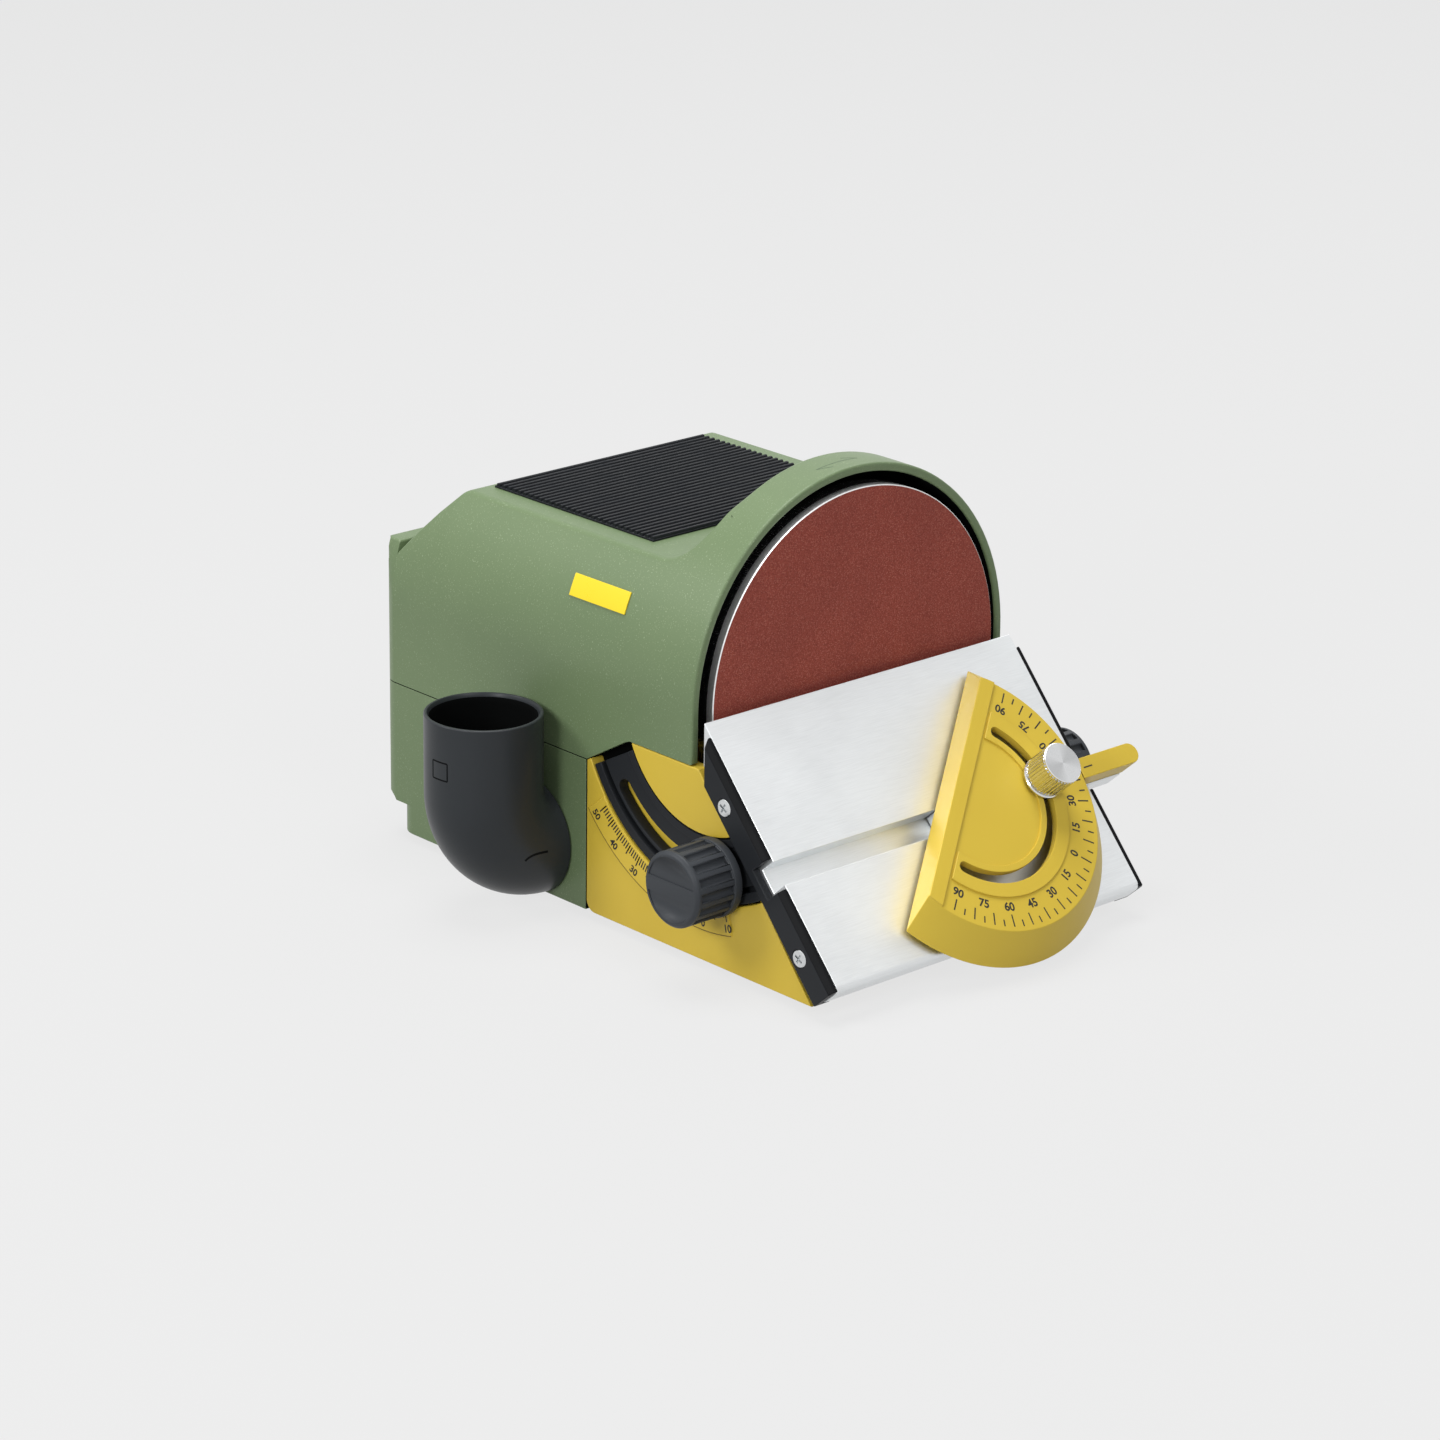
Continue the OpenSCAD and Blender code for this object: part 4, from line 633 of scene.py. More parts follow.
class Repeat(Tree):
    """A Geometry Nodes tree that repeats an object's mesh along a line or about z."""

    INPUTS = {"Geometry": "Geometry", "Count": "Int", "Step": "Vector", "First Turn": "Float", "Turn": "Float",
              "Finish": "Material"}

    def __init__(self, name: str) -> None:
        """Builds the tree: points, turned instances, Realize Instances and Set Material."""
        super().__init__(bpy.data.node_groups.new(name, "GeometryNodeTree"))
        add = self.tree.interface.new_socket
        self.names = {label: add(label, in_out="INPUT", socket_type=f"NodeSocket{kind}").identifier
                      for label, kind in self.INPUTS.items()}
        add("Geometry", in_out="OUTPUT", socket_type="NodeSocketGeometry")
        given = self.node("NodeGroupInput").outputs
        line = self.node("GeometryNodeMeshLine", {}, {"Count": given["Count"], "Offset": given["Step"]})
        index = self.node("GeometryNodeInputIndex")
        turned = self.node("ShaderNodeMath", {"operation": "MULTIPLY_ADD"},
                           {0: index.outputs[0], 1: given["Turn"], 2: given["First Turn"]})
        angle = self.node("ShaderNodeCombineXYZ", {}, {"Z": turned.outputs[0]})
        rotation = self.node("FunctionNodeEulerToRotation", {}, {0: angle.outputs[0]})
        copies = self.node("GeometryNodeInstanceOnPoints", {}, {
            "Points": line.outputs[0], "Instance": given["Geometry"], "Rotation": rotation.outputs[0]})
        whole = self.node("GeometryNodeRealizeInstances", {}, {0: copies.outputs[0]})
        dressed = self.node("GeometryNodeSetMaterial", {}, {
            "Geometry": whole.outputs[0], "Material": given["Finish"]})
        self.node("NodeGroupOutput", {}, {0: dressed.outputs[0]})

    def run(self, unit: Piece, finish: Finish, count: int, step: Sequence[float] = (0, 0, 0),
            first_turn: float = 0.0, turn: float = 0.0, place: Matrix = Matrix.Identity(4)) -> Piece:
        """Repeats a unit and turns the result into a plain mesh.

        Args:
            unit: The object whose mesh is repeated.
            finish: The finish of the result.
            count: Number of copies.
            step: Millimetres from copy to copy.
            first_turn: Turn of the first copy about z, in degrees.
            turn: Turn from copy to copy about z, in degrees.
            place: Where the result goes, in millimetres.

        Returns:
            The unit's object, which now holds the whole row.
        """
        modifier = unit.modifiers.new("repeat", "NODES")
        modifier.node_group = self.tree
        given = {"Count": count, "Step": [value * MM for value in step], "First Turn": math.radians(first_turn),
                 "Turn": math.radians(turn), "Finish": finish.material()}
        for label, value in given.items():
            modifier[self.names[label]] = value
        settle(unit)
        unit.data.transform(in_metres(place))
        return smooth(unit)


REPEAT = Repeat("repeat_along_a_line_or_about_an_axis")


def join(name: str, parts: Iterable[Piece]) -> Piece:
    """Joins objects with one finish into a single piece."""
    parts = list(parts)
    mesh = bmesh.new()
    for part in parts:
        mesh.from_mesh(part.data)
    data = bpy.data.meshes.new(name)
    mesh.to_mesh(data)
    mesh.free()
    data.materials.append(parts[0].data.materials[0])
    for part in parts:
        bpy.data.objects.remove(part)
    return smooth(add_object(name, data))


def slab(x: Point, y: Point, depth: float, place: Matrix = Matrix.Identity(4)) -> Shape:
    """A block over a range of x and of y, raised by depth along z, put in place by a matrix."""
    shape = Shape()
    shape.prism([(x[0], y[0]), (x[1], y[0]), (x[1], y[1]), (x[0], y[1])], depth, place)
    return shape.weld()


def tube(name: str, rows: Sequence[Sequence[Vector]], finish: Finish) -> Piece:
    """A closed bar whose sections are the given rings of points."""
    shape = Shape()
    shape.grid(rows, close_columns=True)
    shape.face(rows[0])
    shape.face(rows[-1])
    return shape.weld().piece(name, finish)


def ticks(name: str, finish: Finish, reach: Point, width: float, place: Matrix, count: int, first: float,
          turn: float, raised: float = 0.04) -> Piece:
    """A ring of printed ticks.

    Args:
        name: The ring's name.
        finish: Its ink.
        reach: Inner and outer radius.
        width: Width of a tick.
        place: The scale's plane, its middle and its zero.
        count: Number of ticks.
        first: Turn of the first tick, in degrees.
        turn: Turn from tick to tick, in degrees.
        raised: Thickness of the print.

    Returns:
        The ring.
    """
    unit = slab(reach, (-width / 2, width / 2), raised).piece(name, finish)
    return REPEAT.run(unit, finish, count, first_turn=first, turn=turn, place=place)


def number(value: int, height: float, place: Matrix, turn: float, reach: float) -> Piece:
    """A scale number as a thin raised mesh.

    Args:
        value: The number, printed without its sign.
        height: Height of its figures.
        place: The scale's plane, its middle and its zero.
        turn: The number's turn on the scale, in degrees.
        reach: Its distance from the scale's middle.

    Returns:
        The number.
    """
    font = bpy.data.curves.new("number", "FONT")
    font.body, font.align_x, font.align_y = str(abs(value)), "CENTER", "CENTER"
    font.size = height * MM * FIGURE_SCALE
    font.extrude = NUMBER_RISE * MM / 2
    font.offset = height * MM * FIGURE_WEIGHT
    holder = add_object("number", font)
    bpy.context.view_layer.update()
    data = bpy.data.meshes.new_from_object(holder.evaluated_get(bpy.context.evaluated_depsgraph_get()))
    bpy.data.objects.remove(holder)
    bpy.data.curves.remove(font)
    spot = Matrix.Rotation(math.radians(turn), 4, "Z") @ Matrix.Translation((reach, 0, 0.02))
    data.transform(in_metres(place @ spot @ Matrix.Rotation(math.radians(90), 4, "Z")))
    data.materials.clear()
    data.materials.append(INK.material())
    return add_object("number", data)


def basis(origin: Sequence[float], across: Sequence[float], up: Sequence[float]) -> Matrix:
    """A place whose x runs across, y runs up and z is their cross product."""
    x, y = Vector(across).normalized(), Vector(up).normalized()
    z = x.cross(y)
    return Matrix.Translation(Vector(origin)) @ Matrix((x, y, z)).transposed().to_4x4()


MARK_FOOT = 0.05
MARK_RISE = 0.03
AXIS_H = 83.4
BODY_R = 69.4
PIVOT = Vector((0.0, -2.5, 82.6))
TILT = 48.3
TABLE_PLACE = Matrix.Translation(PIVOT) @ Matrix.Rotation(math.radians(TILT), 4, "X")
DISC_PLACE = Matrix.Translation((0, 0, AXIS_H)) @ Matrix.Rotation(math.radians(90), 4, "X")


def mark_section(width: float, level: float) -> list[Point]:
    """Section of a fine mark, across and up: a hair proud of the surface at a level, its foot under it."""
    low, high = level - MARK_FOOT, level + MARK_RISE
    return [(-width / 2, low), (-width / 2, high), (width / 2, high), (width / 2, low)]


@dataclass
class UpperShell:
    """Arched green shell with the disc shroud, the flare and the rear band."""

    radius: float = BODY_R
    wall: float = 3.0
    rim_y: float = 2.0
    back_y: float = 19.5
    flat_h: float = 125.7
    flare: float = 14.5
    slope_y: float = 130.4
    slope_deg: float = 48.0
    band_y: float = 152.2
    slope_end_h: float = 101.49
    band_h: float = 105.0
    rear_y: float = 159.5
    corner: float = 8.0
    split_h: float = 55.7
    joint_y: float = 52.4
    notch_y: float = 32.4
    notch_h: float = 67.3
    crease_r: float = 3.2
    crown_r: float = 2.2
    slope_r: float = 5.0
    band_r: float = 0.9
    rim_edge: float = 0.9
    rim_angle: float = 0.7
    vent_w: float = 3.0
    vent_l: float = 28.0
    vent_pitch: float = 7.0
    vent_rise: float = 9.0
    vents: int = 9
    side_steps: int = 4
    arc_steps: int = 16
    crease_steps: int = 5
    flat_steps: int = 9

    def foot(self, y: float) -> float:
        """Height of the shell's lower edge."""
        share = min(1.0, max(0.0, (y - self.notch_y) / (self.joint_y - self.notch_y)))
        return self.notch_h + share * (self.split_h - self.notch_h)

    def half_width(self, y: float) -> float:
        """Half width in plan, with the rounded rear corners."""
        reach = max(0.0, y - (self.rear_y - self.corner))
        return self.radius - self.corner + math.sqrt(max(0.0, self.corner ** 2 - reach ** 2))

    def on_arch(self, angle: float, reach: float) -> Point:
        """Point at an angle above the axis, in x and z."""
        return reach * math.cos(angle), AXIS_H + reach * math.sin(angle)

    def half_row(self, y: float, top: float | None, crease: float, inward: float = 0.0) -> list[Vector]:
        """Half a section from the lower edge to the middle.

        Args:
            y: Where the section lies.
            top: Height of its flat top, or None for the full arch of the shroud.
            crease: Radius between the arch and the flat top.
            inward: How far the full arch is drawn in at its middle, for the rounded back edge.

        Returns:
            The points on the +x side.
        """
        foot = self.foot(y)
        points = [(self.radius, foot + (AXIS_H - foot) * i / self.side_steps) for i in range(self.side_steps)]
        low = math.asin((self.flat_h + self.flare - AXIS_H) / self.radius)
        rest = self.crease_steps + self.flat_steps
        if top is None:
            points += [self.on_arch(low * i / self.arc_steps, self.radius) for i in range(self.arc_steps)]
            for i in range(rest + 1):
                share = i / rest
                ease = min(1.0, share * 3.0)
                drawn = inward * ease * ease * (3 - 2 * ease)
                points.append(self.on_arch(low + (math.pi / 2 - low) * share, self.radius - drawn))
        else:
            rise = top - crease - AXIS_H
            centre = math.sqrt((self.radius - crease) ** 2 - rise ** 2)
            start = math.atan2(rise, centre)
            points += [self.on_arch(start * i / self.arc_steps, self.radius) for i in range(self.arc_steps)]
            for i in range(self.crease_steps):
                angle = start + (math.pi / 2 - start) * i / self.crease_steps
                points.append((centre + crease * math.cos(angle), top - crease + crease * math.sin(angle)))
            points += [(centre * (1 - i / self.flat_steps), top) for i in range(self.flat_steps + 1)]
        width = self.half_width(y)
        return [Vector((min(x, width), y, z)) for x, z in points]

    def rows(self) -> list[list[Vector]]:
        """All sections from the rim to the rear wall."""
        halves = [self.half_row(y, None, 0.0) for y in (self.rim_y, 6.0, 11.0, self.back_y - self.crown_r)]
        for turn in range(15, 91, 15):
            inward, depth = polar(self.crown_r, turn)
            halves.append(self.half_row(self.back_y - self.crown_r + depth, None, 0.0, self.crown_r - inward))
        for turn in range(0, 91, 9):
            y = self.back_y + self.flare * (1 - math.cos(math.radians(turn)))
            top = self.flat_h + self.flare * (1 - math.sin(math.radians(turn)))
            halves.append(self.half_row(y, top, 0.15 + (self.crease_r - 0.15) * min(1.0, turn / 50)))
        for y in (43.0, self.joint_y, 64.0, 80.0, 100.0, 116.0):
            halves.append(self.half_row(y, self.flat_h, self.crease_r))
        tangent = self.slope_r * math.tan(math.radians(self.slope_deg / 2))
        for turn in range(0, int(self.slope_deg) + 1, 8):
            drop, along = polar(self.slope_r, turn)
            top = self.flat_h - self.slope_r + drop
            halves.append(self.half_row(self.slope_y - tangent + along, top, self.crease_r))
        fall = math.tan(math.radians(self.slope_deg))
        for y in (138.0, 145.0, self.band_y):
            halves.append(self.half_row(y, self.slope_end_h + (self.band_y - y) * fall, self.crease_r * 0.6))
        for turn in range(0, 91, 30):
            angle = math.radians(turn)
            halves.append(self.half_row(self.band_y + self.band_r * (1 - math.cos(angle)),
                                        self.band_h - self.band_r * (1 - math.sin(angle)), self.band_r))
        for y in (154.5, 156.2, 157.4):
            halves.append(self.half_row(y, self.band_h, self.band_r))
        for turn in range(0, 91, 30):
            angle = math.radians(turn)
            halves.append(self.half_row(self.rear_y - self.band_r * (1 - math.sin(angle)),
                                        self.band_h - self.band_r * (1 - math.cos(angle)), self.band_r))
        return [half + [Vector((-p.x, p.y, p.z)) for p in reversed(half[:-1])] for half in halves]

    def skin(self) -> Shape:
        """The outer skin as an open shape, its faces outwards."""
        shape = Shape()
        rows = self.rows()
        shape.grid(rows)
        shape.face(rows[-1])
        shape.weld(0.004)
        if sum(f.normal.z * f.calc_area() for f in shape.mesh.faces) < 0:
            bmesh.ops.reverse_faces(shape.mesh, faces=shape.mesh.faces)
        return shape

    def build(self) -> None:
        """Makes the walled shell, its inner side near black as painted shade, with its vents, the chamber's back wall
        and the arrow on the shroud.
        """
        shell = self.skin().piece("upper_shell", GREEN)
        # The shell's inner side takes the near-black painted shade.
        shell.data.materials.append(PAINTED_SHADE_BLACK.material())
        thicken(shell, self.wall, -1.0, 1)
        rim = Shape()
        rim.mesh.from_mesh(shell.data)
        edges = [e for e in rim.mesh.edges if len(e.link_faces) == 2 and e.calc_face_angle(0.0) > self.rim_angle
                 and all(v.co.y < (self.rim_y + 0.01) * MM for v in e.verts)]
        bevel(rim.mesh, edges, self.rim_edge * MM, 3)
        rim.mesh.to_mesh(shell.data)
        rim.mesh.free()
        half = self.vent_w / 2
        vent = slab((-half, half), (0, self.vent_l), 4 * self.wall).piece("vent_cutter", PAINTED_SHADE_BLACK)
        first = (-self.vent_pitch * (self.vents - 1) / 2, self.rear_y + 5.5, self.split_h + self.vent_rise)
        cut(shell, REPEAT.run(vent, PAINTED_SHADE_BLACK, self.vents, (self.vent_pitch, 0, 0),
                              place=basis(first, (1, 0, 0), (0, 0, 1))))
        fit(even_normals(smooth(shell)), Body.HOUSING, Slot.GREEN, "upper_housing")
        self.build_back_wall()
        self.build_arrow()

    def build_back_wall(self) -> None:
        """The wall behind the disc, near black with painted shade."""
        shape = Shape()
        rows = []
        for radius in (17.2, 40.0, self.radius - self.wall - 0.05):
            low = math.degrees(math.asin(max(-1.0, (self.notch_h - AXIS_H) / radius)))
            angles = [math.radians(low + (180 - 2 * low) * i / 72) for i in range(73)]
            rows.append([Vector((radius * math.cos(a), 16.5, AXIS_H + radius * math.sin(a))) for a in angles])
        shape.grid(rows)
        # Painted shade: the back wall is coloured near black for the deep shade behind the disc.
        wall = shape.weld().piece("shroud_back_wall", PAINTED_SHADE_BLACK)
        fit(thicken(wall, self.wall, 0.0), Body.HOUSING, Slot.GREEN)

    def build_arrow(self) -> None:
        """The engraved direction arrow on top of the shroud, drawn as thin raised lines whose darker green is painted
        shade for the grooves.
        """
        lines = []
        for start, end in (((-11.0, 9.0), (7.0, 9.0)), ((7.0, 9.0), (2.0, 11.4)), ((-11.0, 9.0), (-6.0, 6.6))):
            rows = []
            for point in (Vector(start).lerp(Vector(end), i / 8) for i in range(9)):
                angle = math.asin(point.x / self.radius)
                rows.append([Vector((reach * math.sin(angle), point.y + shift, AXIS_H + reach * math.cos(angle)))
                             for shift, reach in mark_section(0.44, self.radius)])
            lines.append(tube("arrow_line", rows, ENGRAVED_GROOVE_SHADE))
        fit(join("direction_arrow", lines), Body.HOUSING, Slot.GREEN)


@dataclass
class Casing:
    """The lower shell, the yellow front base, the pad, the badge and the feet."""

    edge: float = 0.4
    pad_half_w: float = 46.3
    pad_y: Point = (47.0, 126.5)
    pad_z: float = 125.7
    pad_sheet: float = 0.7
    pad_edge: float = 0.3
    rib_h: float = 1.0
    rib_w: float = 1.5
    rib_pitch: float = 2.65
    rib_count: int = 30
    seam_z: float = 55.55
    seam_half: float = 0.34
    seam_inset: float = 0.12
    corner_r: float = 8.0
    rear_y: float = 159.5
    track_x: float = 64.4
    track_r: float = 48.0
    track_half: float = 10.9
    step_z: float = 15.5
    step_y: Point = (150.7, 154.7)
    pocket_z: float = 18.1
    corner_y: float = 140.0
    plain_z: Point = (12.5, 20.5)
    step_angle: float = math.radians(20)

    def build_pad(self) -> None:
        """The ribbed rubber pad: a thin sheet under a row of round-topped ribs."""
        sheet = slab((-self.pad_half_w, self.pad_half_w), self.pad_y, self.pad_sheet,
                     Matrix.Translation((0, 0, self.pad_z))).round_edges(0.25)
        width, height = self.rib_w, self.rib_h
        flank = [(0.0, 0.0), (0.06, height * 0.62), (0.22, height * 0.9), (0.45, height)]
        outline = flank + [(width - x, y) for x, y in reversed(flank)]
        corner = (self.pad_edge - self.pad_half_w, self.pad_y[0] + self.pad_edge, self.pad_z + self.pad_sheet - 0.02)
        rib = Shape()
        rib.prism(outline, 2 * (self.pad_half_w - self.pad_edge), basis(corner, (0, 1, 0), (0, 0, 1)))
        ribs = REPEAT.run(rib.weld().piece("pad_rib", RUBBER), RUBBER, self.rib_count, (0, self.rib_pitch, 0))
        fit(join("grip_pad", [sheet.piece("pad_sheet", RUBBER), ribs]), Body.HOUSING, Slot.RUBBER, "top_grip_pad")

    def band(self, name: str, outer: Sequence[Vector], inner: Sequence[Vector], across: Sequence[Vector],
             half: float) -> Piece:
        """A narrow strip of near-black painted shade along a path.

        Args:
            name: The strip's name.
            outer: Points of its outer face's middle line.
            inner: Points of its inner face's middle line.
            across: Direction of its width at each point.
            half: Half its width.

        Returns:
            The strip.
        """
        rows = [[a - w * half, a + w * half, b + w * half, b - w * half] for a, b, w in zip(outer, inner, across)]
        return tube(name, rows, PAINTED_SHADE_BLACK)

    def seam_path(self, inset: float) -> list[Vector]:
        """The seam between the shells, pulled in from the skin, from one joint round the rear to the other."""
        corner = Vector((BODY_R - self.corner_r, self.rear_y - self.corner_r))
        half = [Vector((BODY_R - inset, y)) for y in (53.0, 100.0)]
        half += [corner + Vector(polar(self.corner_r - inset, turn)) for turn in range(0, 91, 10)]
        path = [(-p.x, p.y) for p in half] + [(p.x, p.y) for p in reversed(half)]
        return [Vector((x, y, self.seam_z)) for x, y in path]

    def build_seams(self) -> None:
        """Strips of near-black painted shade just under the skin in the shells' seams, and a sheet of painted shade
        behind the arc tracks.
        """
        outer, inner = self.seam_path(self.seam_inset), self.seam_path(1.0)
        # Painted shade: dark strips stand in for the shade in the seams and behind the tracks.
        parts = [self.band("shell_seam", outer, inner, [Vector((0, 0, 1))] * len(outer), self.seam_half)]
        arcs = [math.radians(a) for a in range(16, 33, 2)]
        for side in (-1, 1):
            out = Vector((side, 0, 0))
            joint = [Vector((0, 52.55, z)) for z in (3.6, 30.0, 55.3)]
            parts.append(self.band("joint_seam", [p + out * (BODY_R - self.seam_inset) for p in joint],
                                   [p + out * (BODY_R - 1) for p in joint], [Vector((0, 1, 0))] * 3, self.seam_half))
            rays = [Vector((0, math.cos(a), -math.sin(a))) for a in arcs]
            floor = [PIVOT + out * self.track_x + ray * self.track_r for ray in rays]
            faces = [[p + out * rise for p in floor] for rise in (0.2, -0.2)]
            parts.append(self.band("track_painted_shade", *faces, rays, self.track_half))
        fit(join("shell_seams", parts), Body.HOUSING, Slot.BLACK)

    def over_step(self, point: Vector) -> bool:
        """Whether a point is part of the small pocket over the rear step, which is shown closed."""
        return self.step_y[0] < point.y < self.step_y[1] and self.step_z < point.z < self.pocket_z

    def off_step(self, edge: Any) -> bool:
        """Whether an edge is away from the rear step, whose small faces aren't rounded."""
        middle = (edge.verts[0].co + edge.verts[1].co) / 2
        return middle.y < self.corner_y or not self.plain_z[0] < middle.z < self.plain_z[1]

    def build(self) -> None:
        """Builds the casing's pieces."""
        lower = copy_node("lower_housing")
        for vertex in lower.mesh.verts:
            if self.over_step(vertex.co):
                vertex.co.z = self.step_z
        lower.weld(0.002).round_edges(self.edge, 4, keep=self.off_step)
        shown = smooth(lower.piece("lower_housing_rounded", GREEN), self.step_angle)
        fit(even_normals(shown), Body.HOUSING, Slot.GREEN, "lower_housing")
        soften("front_base", YELLOW, Body.HOUSING, Slot.YELLOW, self.edge)
        soften("side_badge", BADGE, Body.HOUSING, Slot.YELLOW, 0.14)
        soften("rubber_feet", RUBBER, Body.HOUSING, Slot.RUBBER, 0.6, 3)
        self.build_pad()
        self.build_seams()


@dataclass
class TiltScale:
    """Printed tilt scale on a side panel."""

    panel_x: float = 69.9
    ticks_r: float = 60.0
    minor: float = 2.8
    major: float = 4.2
    number_r: float = 66.5
    number_h: float = 2.6
    line: float = 0.46
    zero_deg: float = 92.0
    highest: int = 50
    lowest: int = -10

    def place(self, side: int) -> Matrix:
        """The panel's plane: its x runs to the rear, and its z faces out."""
        return basis((side * self.panel_x, PIVOT.y, PIVOT.z), (0, 1, 0), (0, 0, side))

    def build(self, side: int) -> None:
        """Prints the ticks and numbers of one side, -1 for the left, and paints a line of shade at the panel's edge.
        """
        place = self.place(side)
        parts = []
        for length, step in ((self.minor, 1), (self.major, 5)):
            parts.append(ticks("tilt_tick", INK, (self.ticks_r, self.ticks_r + length), self.line, place,
                               (self.highest - self.lowest) // step + 1,
                               side * (self.highest - self.zero_deg), -side * step))
        label = "left" if side < 0 else "right"
        arcs = [-side * math.radians(39 + i) for i in range(65)]
        # Painted shade: a dark line along the foot of the panel's step, where its rounded edge is in shade.
        section = ((68.7, -0.05), (68.98, -0.05), (68.98, 0.03), (68.7, 0.03))
        rows = [[place @ Vector((r * math.cos(a), r * math.sin(a), z)) for r, z in section] for a in arcs]
        fit(tube(f"panel_edge_shade_{label}", rows, PANEL_STEP_PAINTED_SHADE), Body.HOUSING, Slot.BLACK)
        for value in range(self.highest, self.lowest - 1, -10):
            parts.append(number(value, self.number_h, place, side * (value - self.zero_deg), self.number_r))
        fit(join(f"tilt_scale_{label}", parts), Body.HOUSING, Slot.BLACK)


@dataclass
class Disc:
    """The coated abrasive on its turned alloy disc."""

    radius: float = 62.5
    sheet: float = 0.8
    paper: float = 0.3

    def build(self) -> None:
        """Makes the abrasive with its pale cut edge, and dresses the disc."""
        rim, back = self.radius - self.paper, self.sheet - 0.1
        grit = Shape()
        grit.revolve([(0.01, 0.0), (20, 0.0), (44, 0.0), (rim, 0.0), (rim, -back), (0.01, -back)], DISC_PLACE, 128)
        fit(grit.weld(0.02).piece("abrasive_disc", GRIT), Body.ROTOR, Slot.ABRASIVE, "abrasive_sheet")
        outer, foot = self.radius + 0.02, -self.sheet - 2.2
        edge = Shape()
        edge.revolve([(rim, -0.02), (outer, -self.paper), (outer, foot), (self.radius - 0.6, foot),
                      (rim - 0.05, -0.3), (rim, -0.02)], DISC_PLACE, 160)
        fit(edge.weld(0.001).piece("disc_cut_edge", CUT_EDGE), Body.ROTOR, Slot.ALUMINIUM)
        paint(DISC_ALLOY, "sanding_disc")
        paint(STEEL, "disc_set_screw", "motor_shaft")


@dataclass
class Table:
    """Tilting alloy table with its black end brackets and their screws."""

    strip_x: float = 71.3
    screw_s: Point = (26.559, 79.907)
    screw_drop: float = 6.5
    head_r: float = 2.9
    shank_r: float = 1.6
    edge: float = 0.35

    def screw(self) -> Piece:
        """One cross-recess screw, its head's flank at z = 0."""
        body = Shape()
        shank, head = self.shank_r, self.head_r
        body.revolve([(0.01, -12.0), (shank, -12.0), (shank, -1.4), (head - 0.02, -1.4), (head, -1.2), (head, -0.1),
                      (head - 0.2, 0.14), (head * 0.6, 0.3), (0.01, 0.34)], Matrix.Identity(4), 40)
        made = body.weld(0.02).piece("bracket_screw", ZINC)
        for turn in (20, 110):
            place = Matrix.Rotation(math.radians(turn), 4, "Z") @ Matrix.Translation((0, 0, -0.75))
            cut(made, slab((-1.7, 1.7), (-0.36, 0.36), 2.0, place).piece("recess_arm", ZINC))
        return made

    def on_strip_top(self, centre: Vector, normal: Vector) -> bool:
        """Whether a face belongs to the bevelled top of an end strip, which takes painted shade."""
        flat = TABLE_PLACE.inverted() @ centre
        return flat.z > -2.3 and (TABLE_PLACE.to_3x3() @ Vector((0, 0, 1))).dot(normal) > 0.3

    def build(self) -> None:
        """Builds the plate, the brackets and the screw heads."""
        soften("table_plate", TABLE_ALLOY, Body.TABLE, Slot.ALUMINIUM, 0.25)
        for side in ("left", "right"):
            made = soften(f"table_bracket_{side}", BLACK, Body.TABLE, Slot.BLACK, self.edge)
            # Painted shade: the strips' bevelled tops take a darker black.
            tint(made, STRIP_TOP_PAINTED_SHADE, self.on_strip_top)
        down = TABLE_PLACE.to_3x3() @ Vector((0, -1, 0))
        normal = TABLE_PLACE.to_3x3() @ Vector((0, 0, 1))
        rows = []
        for side, first in ((-1, self.screw_s[0]), (1, self.screw_s[1])):
            origin = TABLE_PLACE @ Vector((side * self.strip_x, -first, -self.screw_drop))
            rows.append(REPEAT.run(self.screw(), ZINC, 2, (self.screw_s[1] - self.screw_s[0], 0, 0),
                                   place=basis(origin, down * -side, normal)))
        fit(join("bracket_screw_heads", rows), Body.TABLE, Slot.ZINC, "bracket_screws")


@dataclass
class ClampKnob:
    """Ribbed clamp knob with a plain raised band on its face."""

    side: int
    face_x: float
    stud: Point = (-11.43, 34.42)
    face_r: float = 10.8
    band_h: float = 5.2
    sunk: float = 0.35

    def segment(self, up: int) -> Piece:
        """The shallow cut above or below the band."""
        low = math.asin(self.band_h / 2 / self.face_r)
        turns = [low + (math.pi - 2 * low) * i / 24 for i in range(25)]
        cutter = Shape()
        cutter.prism([(self.face_r * math.cos(a), up * self.face_r * math.sin(a)) for a in turns][::up], 2.0,
                     basis((self.side * (self.face_x - self.sunk), *self.stud), (0, 1, 0), (0, 0, self.side)))
        return cutter.weld().piece("face_cut", KNOB_BLACK)

    def build(self) -> None:
        """Rounds the knob and sinks its face on both sides of the band."""
        label = "left" if self.side < 0 else "right"
        body = Body.CLAMP_LEFT if self.side < 0 else Body.CLAMP_RIGHT
        shape = copy_node(f"clamp_knob_{label}").round_edges(0.3, 3)
        made = shape.piece(f"clamp_knob_{label}_rounded", KNOB_BLACK)
        for up in (-1, 1):
            cut(made, self.segment(up))
        fit(smooth(made), body, Slot.BLACK, f"clamp_knob_{label}")
        paint(ZINC, f"clamp_stud_{label}")


